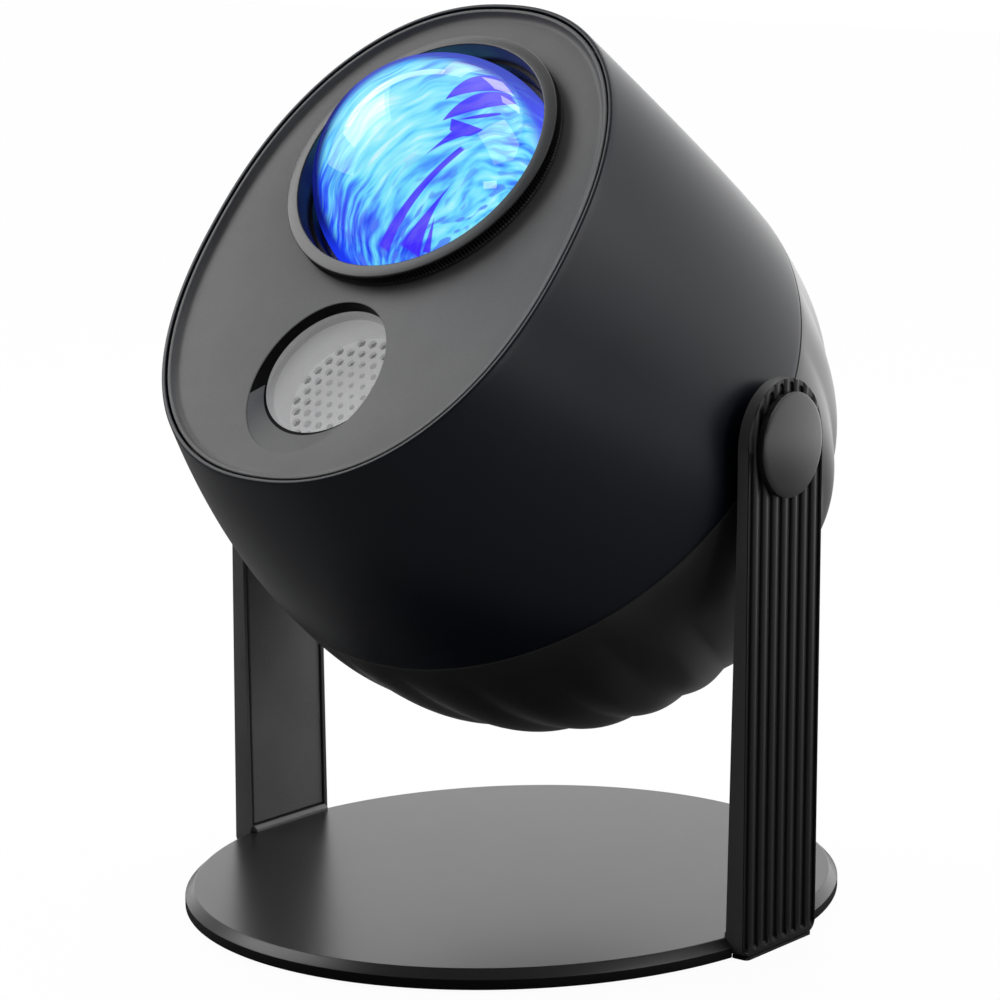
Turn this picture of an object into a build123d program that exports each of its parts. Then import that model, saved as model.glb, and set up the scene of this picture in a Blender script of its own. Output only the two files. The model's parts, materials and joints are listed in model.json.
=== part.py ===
from build123d import *
from math import atan, cos, pi, radians, sin, sqrt, tan
import os

# Star and nebula projector: a ball-shaped head hung between the two arms of a flat-footed stand.
# Frame: millimetres, +Z up, origin on the table under the middle of the base.
# The tilt axis runs along X. The lens side looks to -Y, the control side to +Y.
# Head measures are given as (u, v, l): u along X, v up the lens face, l out of the lens face,
# all from the point where the tilt axis crosses the middle of the head.

# ---- stand ----
base_half_x = 71.5
base_half_y = 80.0
foot_height = 0.6          # rubber below the metal
base_side = 2.9            # table to the lower edge of the bevel
base_top = 4.8
base_bevel = 2.0
pad_inset = 4.0

arm_half_width = 14.2
arm_out = 73.2             # outer face of an arm
arm_in_top = 70.2          # inner face at the tilt axis
arm_in_foot = 68.4         # inner face at the table
arm_corner = 3.0
groove_count = 8
groove_pitch = 3.72
groove_width = 1.6
groove_depth = 0.8
groove_border = 0.75       # rim left round the grooves
cover_half_width = 12.9
cover_gap = 0.3
cover_sink = 0.5
cover_thick = 1.1
cover_low = 6.4
tab_length = 20.0
tab_half_width = 11.0
tab_thick = 1.6
tab_screw_y = 6.5
tab_screw_x = 56.0
tab_clear = 0.2
screw_r = 1.2              # shank of every small screw
screw_hole_r = 1.25
countersink_r = 2.7
notch_clear = 0.3          # round an arm where it passes the base

# ---- tilt joint ----
pivot_z = 111.5
tilt = 42.0                # the beam's height above level
bolt_r = 3.0
bolt_inner_x = 58.5
bolt_head_r = 5.0
bolt_head_thick = 1.2
cap_r = 11.4
cap_out = 75.9
cap_edge = 0.7
socket_across = 2.0
socket_deep = 0.9
washer_r = 7.5
flat_x = 69.0              # flats on the head where the washers bear
flat_size = 30.0
bush_r = 5.0
bush_proud = 0.5           # the bush stands this far past the bolt's inner end
run_fit = 0.05

# ---- head shells ----
ball_r = 69.5
ball_v = 1.4
front_l = 63.2
front_half_u = 49.0
front_half_v = 63.6
front_v = 1.9
front_power_u = 1.21
front_power_v = 1.64
front_dip = 3.5
front_squareness = 0.24
wall = 2.2
rear_depth = 83.5
ledge_l = 56.0
ledge_top = 58.8
ledge_half_u = 45.0
ledge_half_v = 59.5
mouth_half_u = 48.1
mouth_half_v = 62.7
front_sections = 6
boss_ring_r = 62.6         # four bosses that take the chassis screws
boss_r = 3.8
boss_high = 10.5
seal_clear = 0.3

# ---- face panel ----
panel_half_u = 47.7
panel_half_v = 62.3
rim_top = 63.0
rim_width = 0.8
cove_width = 2.2
panel_face = 61.6
panel_under = 59.4
lens_v = 22.3
lens_hole_r = 31.5
window_v = -30.4
window_r = 15.6
window_sink = 3.2
scoop_half_u = 15.9
scoop_half_v = 19.2
scoop_v = -33.9
window_boss_back = 56.2
pane_thick = 1.2
pane_r = window_r + 1.0
plate_back = 48.4
plate_thick = 0.8
hole_pitch = 3.1
hole_r = 0.5               # middle hole; each ring of holes outward is wider
hole_growth = 0.14
hole_rings = 4

# ---- projection lens ----
ring_r = 32.8
ring_bore_r = 29.9
ring_front = 65.6
ring_back = 61.9
skirt_r = 31.1
skirt_back = 54.0
dome_r = 27.9
dome_centre_l = 55.3
dome_wall = 2.6
dome_seat = 51.0
cell_back = 49.0
cell_front = 56.6
cell_wall = 3.0
cell_r = 29.0
neck_r = 29.85
flange_r = ring_r + 5.0
flange_thick = 2.0
barrel_back = 42.5
barrel_neck_l = 53.6
barrel_top = 60.5
optics_post_r = 34.0
optics_post_angles = (70, 180, 285)
post_r = 3.0
optics_screw_back = 28.0

# ---- ripple disc drive ----
tooth_module = 0.8
tooth_play = 0.12
ripple_teeth = 72
pinion_teeth = 18
drive_angle = -35.0
gear_back = 38.0
gear_thick = 3.0
spigot_r = 26.0
glass_r = 24.0
glass_back = 36.0
carrier_back = 33.6
carrier_top = 37.6
motor_back = 12.0
motor_r = 8.4
shaft_r = 0.95
shaft_hole_r = 1.0

# ---- light engine ----
chassis_back = 1.0
chassis_top = 3.5
chassis_r = 65.6
sink_r = 28.0
fin_r = 23.0
sink_top = 8.5
fin_count = 11
fin_pitch = 4.0
fin_thick = 1.4
fin_long = 15.0
led_board_r = 21.0
board_thick = 1.6
led_pitch = 5.0
led_size = 3.5
reflector_top = 27.0
condenser_r = 22.0
condenser_rise = 4.6
condenser_edge = 1.2

# ---- star projector ----
star_tube_r = 17.5
star_tube_wall = 1.5
star_clear = 0.4           # round the tube where it passes the optics
star_floor = 22.0
star_floor_thick = 2.0
star_motor_u = -3.5
star_motor_r = 5.0
star_motor_long = 14.0
laser_u = 6.0
laser_r = 3.4
laser_bore_r = 1.0
laser_long = 15.0
laser_bore_deep = 2.0
star_wheel_r = 12.0
star_wheel_l = 42.0
star_wheel_thick = 1.2
star_hub_r = 2.6
star_hub_high = 1.6

# ---- electronics ----
main_board_v = -14.0
main_board_size = (78.0, 42.0)
standoff_spread = (66.0, 30.0)
standoff_r = 3.0
standoff_long = 23.4

# ---- rear ----
rear_cap_r = 20.7
rear_cap_clear = 0.3
rear_cap_thick = 2.0
button_r = 3.2
button_proud = 0.9
button_travel = 0.7
button_us = (-10.5, 0.0, 10.5)
button_dv = 7.0
inlet_dv = -10.5
inlet_half_u = 4.6
inlet_half_v = 1.75
seat_back = -76.2          # shelf that the rear cap sits on
speaker_seat = -64.0
key_back = -77.6           # rear face of the flange that holds a key in
key_flange = 0.9
key_flange_thick = 0.8
key_stem_r = 1.2
key_stem_long = 1.0
button_board_back = -72.6
button_board_r = 18.6
button_board_thick = 1.2
switch_size = 4.5

t = radians(tilt)
HEAD = Plane(origin=(0, 0, pivot_z), x_dir=(1, 0, 0), z_dir=(0, -cos(t), sin(t)))
OUT = HEAD.z_dir
UP = HEAD.y_dir
# half-section planes through the ball's axis and the lens axis: local x is the radius, local y is l
PROFILE = Plane(origin=HEAD.origin + UP * ball_v, x_dir=UP, z_dir=UP.cross(OUT))
LENS = Plane(origin=HEAD.origin + UP * lens_v, x_dir=UP, z_dir=UP.cross(OUT))
SIDE = Plane.YZ            # local x is Y, local y is Z
pinion_distance = tooth_module * (ripple_teeth + pinion_teeth) / 2
pinion_u = pinion_distance * cos(radians(drive_angle))
pinion_v = lens_v + pinion_distance * sin(radians(drive_angle))


def signed_power(value, power):
    return abs(value) ** power * (1 if value >= 0 else -1)


def oval_points(half_u, half_v, centre_v, squareness, count=24):
    """Superellipse points: cosine and sine each raised to 2 over the exponent."""
    power = 2 / (2 + squareness)
    turns = [2 * pi * (i + 0.5) / count for i in range(count)]
    return [
        (half_u * signed_power(cos(a), power), centre_v + half_v * signed_power(sin(a), power))
        for a in turns
    ]


def front_oval(l, inset=0.0):
    """Front shell section at height l: a circle at the seam that turns into the face oval."""
    s = l / front_l
    half_u = ball_r - (ball_r - front_half_u) * s**front_power_u - inset
    half_v = ball_r - (ball_r - front_half_v) * s**front_power_v - inset
    centre_v = ball_v + (front_v - ball_v) * s - front_dip * s * (1 - s)
    return oval_points(half_u, half_v, centre_v, front_squareness * s)


def face_oval(half_u, half_v):
    return oval_points(half_u, half_v, front_v, front_squareness)


def level(l):
    return HEAD.offset(l)


def arm_inner(z):
    """Inner face of an arm: it leans out to the pivot boss and is upright from there on."""
    top = pivot_z - arm_half_width
    share = min(z / top, 1)
    return arm_in_foot + (arm_in_top - arm_in_foot) * share


def gear_points(teeth, backlash):
    """Involute teeth of 20 degrees, three points to a flank."""
    pressure = radians(20)
    pitch_r = tooth_module * teeth / 2
    base_r = pitch_r * cos(pressure)
    tip_r = pitch_r + tooth_module
    root_r = pitch_r - 1.25 * tooth_module
    start_r = max(base_r, root_r)
    half_at_pitch = pi / 2 / teeth - backlash / 2 / pitch_r

    def half_angle(radius):
        roll = sqrt(max((radius / base_r) ** 2 - 1, 0))
        return half_at_pitch + tan(pressure) - pressure - (roll - atan(roll))

    flank = [root_r] if root_r < start_r else []
    flank += [start_r, (start_r + tip_r) / 2, tip_r]
    points = []
    for tooth in range(teeth):
        middle = 2 * pi * tooth / teeth
        rising = [(r, middle - half_angle(max(r, start_r))) for r in flank]
        falling = [(r, middle + half_angle(max(r, start_r))) for r in reversed(flank)]
        points += [(r * cos(a), r * sin(a)) for r, a in rising + falling]
    return points


# ------------------------------------------------------------------ stand
tab_half = tab_half_width + tab_clear
notch_width = 2 * (arm_half_width + notch_clear)
with BuildPart() as base_plate:
    with BuildSketch(Plane.XY.offset(foot_height)):
        Ellipse(base_half_x, base_half_y)
    extrude(amount=base_side - foot_height)
    with BuildSketch(Plane.XY.offset(base_side)):
        Ellipse(base_half_x, base_half_y)
    with BuildSketch(Plane.XY.offset(base_top)):
        Ellipse(base_half_x - base_bevel, base_half_y - base_bevel)
    loft(ruled=True)
    with BuildSketch(Plane.XY.offset(foot_height)):
        for side in (1, -1):
            with Locations((side * (arm_in_foot - tab_clear), 0)):
                Rectangle(20, notch_width, align=(Align.MIN if side > 0 else Align.MAX, Align.CENTER))
    extrude(amount=base_top, mode=Mode.SUBTRACT)
    with BuildSketch(Plane.XY.offset(foot_height)):
        for side in (1, -1):
            with Locations((side * (arm_in_foot - tab_length / 2), 0)):
                Rectangle(tab_length + 2 * notch_clear, 2 * tab_half)
    extrude(amount=tab_thick, mode=Mode.SUBTRACT)
    with BuildSketch(Plane.XY.offset(foot_height)):
        for side in (1, -1):
            with Locations((side * tab_screw_x, tab_screw_y), (side * tab_screw_x, -tab_screw_y)):
                Circle(screw_hole_r)
    extrude(amount=3.6, mode=Mode.SUBTRACT)

with BuildPart() as foot_pad:
    with BuildSketch():
        Ellipse(base_half_x - pad_inset, base_half_y - pad_inset)
        for side in (1, -1):
            with Locations((side * (base_half_x - pad_inset), 0)):
                Rectangle(2.4, 2 * arm_half_width + 2, mode=Mode.SUBTRACT)
    extrude(amount=foot_height)


corner_z = foot_height + arm_corner
straight_half = arm_half_width - arm_corner
cover_high = pivot_z - arm_half_width - 1.0
pocket_low = cover_low - cover_gap
pocket_high = cover_high + cover_gap
groove_ys = [(i - (groove_count - 1) / 2) * groove_pitch for i in range(groove_count)]
with BuildPart() as right_arm:
    with BuildSketch(SIDE.offset(arm_in_foot)):
        with BuildLine():
            Line((-arm_half_width, pivot_z), (-arm_half_width, corner_z))
            RadiusArc((-arm_half_width, corner_z), (-straight_half, foot_height), -arm_corner)
            Line((-straight_half, foot_height), (straight_half, foot_height))
            RadiusArc((straight_half, foot_height), (arm_half_width, corner_z), -arm_corner)
            Line((arm_half_width, corner_z), (arm_half_width, pivot_z))
            CenterArc((0, pivot_z), arm_half_width, 0, 180)
        make_face()
    extrude(amount=arm_out - arm_in_foot)
    # the inner face leans outward towards the top
    with BuildSketch(Plane.XZ):
        with BuildLine():
            Polyline(
                (arm_in_foot - 5, -1),
                (arm_inner(0), 0),
                (arm_in_top, pivot_z - arm_half_width),
                (arm_in_top, pivot_z + 20),
                (arm_in_foot - 5, pivot_z + 20),
                close=True,
            )
        make_face()
    extrude(amount=20, both=True, mode=Mode.SUBTRACT)
    # shallow pocket for the inner cover
    with BuildSketch(Plane.XZ):
        with BuildLine():
            Polyline(
                (arm_inner(pocket_low) - 1, pocket_low),
                (arm_inner(pocket_low) + cover_sink + cover_thick, pocket_low),
                (arm_inner(pocket_high) + cover_sink + cover_thick, pocket_high),
                (arm_inner(pocket_high) - 1, pocket_high),
                close=True,
            )
        make_face()
    extrude(amount=cover_half_width + cover_gap, both=True, mode=Mode.SUBTRACT)
    # grooves down the outer face
    with BuildSketch(SIDE.offset(arm_out)):
        for y in groove_ys:
            reach = arm_half_width - groove_border
            edge = abs(y) + groove_width / 2
            top = pivot_z + sqrt(max(reach**2 - edge**2, 0))
            low = foot_height + 3.0
            with Locations((y, (top + low) / 2)):
                SlotOverall(top - low, groove_width, rotation=90)
    extrude(amount=-groove_depth, mode=Mode.SUBTRACT)
    with BuildSketch(SIDE.offset(arm_in_foot)):
        with Locations((0, pivot_z)):
            Circle(bolt_r + run_fit)
    extrude(amount=10, mode=Mode.SUBTRACT)
    # tongue under the base, with two countersunk holes
    with BuildSketch(Plane.XY.offset(foot_height)):
        with Locations((arm_in_foot - tab_length / 2 + 0.5, 0)):
            Rectangle(tab_length + 1, 2 * tab_half_width)
    extrude(amount=tab_thick)
    with Locations((tab_screw_x, tab_screw_y, foot_height), (tab_screw_x, -tab_screw_y, foot_height)):
        Cylinder(screw_hole_r, 20, mode=Mode.SUBTRACT)
        Cylinder(countersink_r, 2.6, mode=Mode.SUBTRACT)

with BuildPart() as left_arm:
    mirror(right_arm.part, about=Plane.YZ)

with BuildPart() as right_arm_cover:
    with BuildSketch(Plane.XZ):
        with BuildLine():
            Polyline(
                (arm_inner(cover_low) + cover_sink, cover_low),
                (arm_inner(cover_low) + cover_sink + cover_thick, cover_low),
                (arm_inner(cover_high) + cover_sink + cover_thick, cover_high),
                (arm_inner(cover_high) + cover_sink, cover_high),
                close=True,
            )
        make_face()
    extrude(amount=cover_half_width, both=True)

with BuildPart() as left_arm_cover:
    mirror(right_arm_cover.part, about=Plane.YZ)

# low trim strip where the cover meets the base
with BuildPart() as right_foot_strip:
    with BuildSketch(Plane.XZ):
        with BuildLine():
            Polyline(
                (arm_inner(base_top) - 1.2, base_top),
                (arm_inner(base_top) - 0.02, base_top),
                (arm_inner(pocket_low) - 0.02, pocket_low),
                (arm_inner(pocket_low) - 0.3, pocket_low),
                (arm_inner(base_top) - 1.2, base_top + 0.6),
                close=True,
            )
        make_face()
    extrude(amount=cover_half_width, both=True)

with BuildPart() as left_foot_strip:
    mirror(right_foot_strip.part, about=Plane.YZ)

with BuildPart() as right_foot_pad:
    with BuildSketch():
        with Locations(((arm_in_foot + arm_out) / 2 + 0.2, 0)):
            RectangleRounded(arm_out - arm_in_foot - 0.4, 2 * (arm_half_width - arm_corner) + 3, 1)
    extrude(amount=foot_height)

with BuildPart() as left_foot_pad:
    mirror(right_foot_pad.part, about=Plane.YZ)

with BuildPart() as arm_screws:
    for side in (1, -1):
        for y in (tab_screw_y, -tab_screw_y):
            with Locations((side * tab_screw_x, y, foot_height)):
                Cone(countersink_r - 0.1, screw_r, 1.25, align=(Align.CENTER, Align.CENTER, Align.MIN))
                Cylinder(screw_r, 3.4, align=(Align.CENTER, Align.CENTER, Align.MIN))

# ------------------------------------------------------------------ tilt joint
with BuildPart() as right_pivot_bolt:
    with BuildSketch(SIDE.offset(bolt_inner_x)):
        with Locations((0, pivot_z)):
            Circle(bolt_r)
    extrude(amount=arm_out - bolt_inner_x)
    with BuildSketch(SIDE.offset(arm_out)):
        with Locations((0, pivot_z)):
            Circle(bolt_head_r)
    extrude(amount=bolt_head_thick)
    with BuildSketch(SIDE.offset(arm_out + bolt_head_thick)):
        with Locations((0, pivot_z)):
            RegularPolygon(socket_across, 6)
    extrude(amount=-socket_deep, mode=Mode.SUBTRACT)

with BuildPart() as left_pivot_bolt:
    mirror(right_pivot_bolt.part, about=Plane.YZ)

with BuildPart() as right_pivot_cap:
    with BuildSketch(SIDE.offset(arm_out)):
        with Locations((0, pivot_z)):
            Circle(cap_r)
    extrude(amount=cap_out - arm_out)
    fillet(right_pivot_cap.edges().group_by(Axis.X)[-1], cap_edge)
    with BuildSketch(SIDE.offset(arm_out)):
        with Locations((0, pivot_z)):
            Circle(bolt_head_r + 0.1)
    extrude(amount=bolt_head_thick + 0.1, mode=Mode.SUBTRACT)

with BuildPart() as left_pivot_cap:
    mirror(right_pivot_cap.part, about=Plane.YZ)

with BuildPart() as right_friction_washer:
    with BuildSketch(SIDE.offset(flat_x + run_fit)):
        with Locations((0, pivot_z)):
            Circle(washer_r)
            Circle(bolt_r + run_fit, mode=Mode.SUBTRACT)
    extrude(amount=arm_in_top - flat_x - run_fit)

with BuildPart() as left_friction_washer:
    mirror(right_friction_washer.part, about=Plane.YZ)

with BuildPart() as right_pivot_bush:
    with BuildSketch(SIDE.offset(bolt_inner_x - bush_proud)):
        with Locations((0, pivot_z)):
            Circle(bush_r)
            Circle(bolt_r + run_fit, mode=Mode.SUBTRACT)
    extrude(amount=flat_x - bolt_inner_x + bush_proud)

with BuildPart() as left_pivot_bush:
    mirror(right_pivot_bush.part, about=Plane.YZ)


# ------------------------------------------------------------------ head shells
with BuildPart() as front_shell:
    for i in range(front_sections + 1):
        height = front_l * i / front_sections
        with BuildSketch(level(height)):
            with BuildLine():
                Spline(*front_oval(height), periodic=True)
            make_face()
    loft()
    for i in range(front_sections):
        height = ledge_l * i / (front_sections - 1)
        with BuildSketch(level(height)):
            with BuildLine():
                Spline(*front_oval(height, wall), periodic=True)
            make_face()
    loft(mode=Mode.SUBTRACT)
    with BuildSketch(level(ledge_l - 1)):
        with BuildLine():
            Spline(*face_oval(ledge_half_u, ledge_half_v), periodic=True)
        make_face()
    extrude(amount=5, mode=Mode.SUBTRACT)
    with BuildSketch(level(ledge_top)):
        with BuildLine():
            Spline(*face_oval(mouth_half_u, mouth_half_v), periodic=True)
        make_face()
    extrude(amount=6, mode=Mode.SUBTRACT)
    with BuildSketch(level(chassis_top)):
        with Locations((0, ball_v)):
            with PolarLocations(boss_ring_r, 4, start_angle=45):
                Circle(boss_r)
                Circle(screw_hole_r, mode=Mode.SUBTRACT)
    extrude(amount=boss_high)
    # a flat for each washer and a hole for each bush
    for side in (1, -1):
        with BuildSketch(SIDE.offset(side * (ball_r - 9))):
            with Locations((0, pivot_z)):
                Circle(bush_r)
        extrude(amount=side * 20, mode=Mode.SUBTRACT)
        with Locations((side * (flat_x + 5), 0, pivot_z)):
            Box(10, flat_size, flat_size, mode=Mode.SUBTRACT)

cap_hole_r = rear_cap_r + rear_cap_clear


def rear_curve(radius, depth, steps=10):
    """Quarter ellipse of the rear dome, from its pole to the seam."""
    turns = [pi / 2 * i / steps for i in range(steps + 1)]
    return [(radius * sin(a), -depth * cos(a)) for a in turns]


with BuildPart() as rear_shell:
    with BuildSketch(PROFILE):
        outer = rear_curve(ball_r, rear_depth)
        with BuildLine():
            Spline(*outer, tangents=((1, 0), (0, 1)))
            Polyline(outer[-1], (0, 0), outer[0])
        make_face()
        inner = rear_curve(ball_r - wall, rear_depth - wall)
        with BuildLine():
            Spline(*inner, tangents=((1, 0), (0, 1)))
            Polyline(inner[-1], (0, 0), inner[0])
        make_face(mode=Mode.SUBTRACT)
        with Locations((cap_hole_r - 50, -50)):
            Rectangle(100, 100, mode=Mode.SUBTRACT)
        # shelves for the speaker and for the rear cap
        with Locations((17.5, speaker_seat)):
            Rectangle(26.4, 2.0, align=(Align.MIN, Align.MIN))
        with Locations((18.2, seat_back)):
            Rectangle(6.6, 1.6, align=(Align.MIN, Align.MIN))
    revolve(axis=Axis(PROFILE.origin, OUT))
    # a flat for each washer and a hole for each bush
    for side in (1, -1):
        with BuildSketch(SIDE.offset(side * (ball_r - 9))):
            with Locations((0, pivot_z)):
                Circle(bush_r)
        extrude(amount=side * 20, mode=Mode.SUBTRACT)
        with Locations((side * (flat_x + 5), 0, pivot_z)):
            Box(10, flat_size, flat_size, mode=Mode.SUBTRACT)

# ------------------------------------------------------------------ lens face
with BuildPart() as face_seal:
    with BuildSketch(level(ledge_top)):
        with BuildLine():
            Spline(*face_oval(mouth_half_u - seal_clear, mouth_half_v - seal_clear), periodic=True)
        make_face()
        with BuildLine(mode=Mode.PRIVATE) as seal_inside:
            Spline(*face_oval(ledge_half_u + 0.4, ledge_half_v + 0.4), periodic=True)
        make_face(seal_inside.edges(), mode=Mode.SUBTRACT)
    extrude(amount=panel_under - ledge_top)

with BuildPart() as face_panel:
    with BuildSketch(level(panel_under)):
        with BuildLine():
            Spline(*face_oval(panel_half_u, panel_half_v), periodic=True)
        make_face()
    extrude(amount=rim_top - panel_under)
    # cove between the narrow rim and the flat face
    for height, inset in ((panel_face, rim_width + cove_width), (rim_top + 0.01, rim_width)):
        with BuildSketch(level(height)):
            with BuildLine():
                Spline(*face_oval(panel_half_u - inset, panel_half_v - inset), periodic=True)
            make_face()
    loft(ruled=True, mode=Mode.SUBTRACT)
    # boss behind the star window
    with BuildSketch(level(window_boss_back)):
        with Locations((0, scoop_v)):
            Ellipse(scoop_half_u + 3.5, scoop_half_v + 2.5)
    extrude(amount=panel_under - window_boss_back)
    with BuildSketch(level(50)):
        with Locations((0, lens_v)):
            Circle(lens_hole_r)
        with Locations((0, window_v)):
            Circle(window_r)
    extrude(amount=20, mode=Mode.SUBTRACT)
    # slanted scoop that runs out below the window
    with BuildSketch(level(panel_face - window_sink)):
        with Locations((0, window_v)):
            Circle(window_r)
    with BuildSketch(level(panel_face + 0.01)):
        with Locations((0, scoop_v)):
            Ellipse(scoop_half_u, scoop_half_v)
    loft(ruled=True, mode=Mode.SUBTRACT)
    with BuildSketch(level(window_boss_back)):
        with Locations((0, window_v)):
            Circle(pane_r + 0.1)
    extrude(amount=panel_face - window_sink - window_boss_back, mode=Mode.SUBTRACT)

with BuildPart() as window_pane:
    with BuildSketch(level(panel_face - window_sink - pane_thick)):
        with Locations((0, window_v)):
            Circle(pane_r)
    extrude(amount=pane_thick)

def ring_of_holes(ring):
    """Places of one ring of a triangular lattice round the plate's middle."""
    steps = range(-ring, ring + 1)
    cells = [(a, b) for a in steps for b in steps if max(abs(a), abs(b), abs(a + b)) == ring]
    return [(hole_pitch * (a + b / 2), hole_pitch * b * sqrt(3) / 2) for a, b in cells]


with BuildPart() as star_plate:
    with BuildSketch(level(plate_back)):
        with Locations((0, window_v)):
            Circle(star_tube_r)
            for ring in range(hole_rings + 1):
                with Locations(*ring_of_holes(ring)):
                    Circle(hole_r + hole_growth * ring, mode=Mode.SUBTRACT)
    extrude(amount=plate_thick)

with BuildPart() as star_plate_retainer:
    with BuildSketch(level(plate_back + plate_thick)):
        with Locations((0, window_v)):
            Circle(star_tube_r - 0.5)
            Circle(star_tube_r - 2.5, mode=Mode.SUBTRACT)
    extrude(amount=window_boss_back - plate_back - plate_thick)

# ------------------------------------------------------------------ projection lens
post_spots = [
    (optics_post_r * cos(radians(a)), lens_v + optics_post_r * sin(radians(a)))
    for a in optics_post_angles
]
with BuildPart() as lens_barrel:
    with BuildSketch(level(barrel_back)):
        with Locations((0, lens_v)):
            Circle(flange_r)
            Circle(cell_r + run_fit, mode=Mode.SUBTRACT)
        with Locations((0, window_v)):
            Circle(star_tube_r + star_clear, mode=Mode.SUBTRACT)
    extrude(amount=flange_thick)
    with BuildSketch(level(barrel_back)):
        with Locations((0, lens_v)):
            Circle(skirt_r)
            Circle(cell_r + run_fit, mode=Mode.SUBTRACT)
    extrude(amount=barrel_neck_l - barrel_back)
    with BuildSketch(level(barrel_neck_l)):
        with Locations((0, lens_v)):
            Circle(neck_r)
            Circle(cell_r + run_fit, mode=Mode.SUBTRACT)
    extrude(amount=barrel_top - barrel_neck_l)
    with BuildSketch(level(carrier_top)):
        with Locations(*post_spots):
            Circle(post_r)
    extrude(amount=barrel_back - carrier_top)
    with BuildSketch(level(carrier_top)):
        with Locations(*post_spots):
            Circle(screw_hole_r)
    extrude(amount=10, mode=Mode.SUBTRACT)

with BuildPart() as focus_ring:
    with BuildSketch(level(ring_back)):
        with Locations((0, lens_v)):
            Circle(ring_r)
            Circle(ring_bore_r, mode=Mode.SUBTRACT)
    extrude(amount=ring_front - ring_back)
    chamfer(focus_ring.edges().group_by(Axis(HEAD.origin, OUT))[-1], 0.3)
    with BuildSketch(level(skirt_back)):
        with Locations((0, lens_v)):
            Circle(skirt_r)
            Circle(ring_bore_r, mode=Mode.SUBTRACT)
    extrude(amount=ring_back - skirt_back)
    # snap lip that keeps the ring behind the face panel
    with BuildSketch(level(skirt_back)):
        with Locations((0, lens_v)):
            Circle(ring_r - 0.3)
            Circle(ring_bore_r, mode=Mode.SUBTRACT)
    extrude(amount=1.4)

with BuildPart() as lens_cell:
    with BuildSketch(level(cell_back)):
        with Locations((0, lens_v)):
            Circle(cell_r)
            Circle(cell_r - cell_wall, mode=Mode.SUBTRACT)
    extrude(amount=cell_front - cell_back)
    with BuildSketch(level(dome_seat)):
        with Locations((0, lens_v)):
            Circle(dome_r + 0.1)
    extrude(amount=cell_front - cell_back, mode=Mode.SUBTRACT)

with BuildPart() as dome_lens:
    with BuildSketch(LENS):
        with Locations((0, dome_centre_l)):
            Circle(dome_r)
        with Locations((0, (dome_seat + dome_centre_l) / 2)):
            Rectangle(2 * dome_r, dome_centre_l - dome_seat)
        with Locations((0, dome_centre_l)):
            Circle(dome_r - dome_wall, mode=Mode.SUBTRACT)
        with Locations((0, (dome_seat + dome_centre_l) / 2)):
            Rectangle(2 * (dome_r - dome_wall), dome_centre_l - dome_seat, mode=Mode.SUBTRACT)
        with Locations((0, dome_seat - 50)):
            Rectangle(200, 100, mode=Mode.SUBTRACT)
        with Locations((-50, 50)):
            Rectangle(100, 200, mode=Mode.SUBTRACT)
    revolve(axis=Axis(LENS.origin, OUT))

# ------------------------------------------------------------------ ripple disc and its drive
with BuildPart() as ripple_gear:
    with BuildSketch(level(gear_back)):
        with Locations((0, lens_v)):
            with BuildLine(mode=Mode.PRIVATE) as rim_line:
                Polyline(*gear_points(ripple_teeth, tooth_play), close=True)
            add(make_face(rim_line.edges(), mode=Mode.PRIVATE))
            Circle(glass_r, mode=Mode.SUBTRACT)
    extrude(amount=gear_thick)
    with BuildSketch(level(carrier_back)):
        with Locations((0, lens_v)):
            Circle(spigot_r)
            Circle(glass_r, mode=Mode.SUBTRACT)
    extrude(amount=gear_back - carrier_back)

with BuildPart() as ripple_glass:
    with BuildSketch(level(glass_back)):
        with Locations((0, lens_v)):
            Circle(glass_r)
    extrude(amount=gear_thick)

with BuildPart() as drive_pinion:
    with BuildSketch(level(gear_back)):
        with Locations(Location((pinion_u, pinion_v), 180 / pinion_teeth + drive_angle + 180)):
            with BuildLine(mode=Mode.PRIVATE) as pinion_line:
                Polyline(*gear_points(pinion_teeth, tooth_play), close=True)
            add(make_face(pinion_line.edges(), mode=Mode.PRIVATE))
            Circle(shaft_hole_r, mode=Mode.SUBTRACT)
    extrude(amount=gear_thick)

with BuildPart() as drive_motor:
    with BuildSketch(level(motor_back)):
        with Locations((pinion_u, pinion_v)):
            Circle(motor_r)
    extrude(amount=carrier_back - motor_back)
    with BuildSketch(level(carrier_back)):
        with Locations((pinion_u, pinion_v)):
            Circle(shaft_r)
    extrude(amount=gear_back + gear_thick - carrier_back)

with BuildPart() as disc_carrier:
    with BuildSketch(level(carrier_back)):
        with Locations((0, lens_v)):
            Circle(flange_r)
        with Locations((pinion_u, pinion_v)):
            Circle(10.5)
        with Locations((0, lens_v)):
            Circle(spigot_r + run_fit, mode=Mode.SUBTRACT)
        with Locations((pinion_u, pinion_v)):
            Circle(2.0, mode=Mode.SUBTRACT)
        with Locations(*post_spots):
            Circle(screw_hole_r, mode=Mode.SUBTRACT)
        with Locations((0, window_v)):
            Circle(star_tube_r + star_clear, mode=Mode.SUBTRACT)
    extrude(amount=carrier_top - carrier_back)

with BuildPart() as optics_screws:
    with BuildSketch(level(optics_screw_back)):
        with Locations(*post_spots):
            Circle(screw_r)
    extrude(amount=barrel_back + flange_thick - optics_screw_back)
    with BuildSketch(level(barrel_back + flange_thick)):
        with Locations(*post_spots):
            Circle(2.3)
    extrude(amount=1.5)

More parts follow.
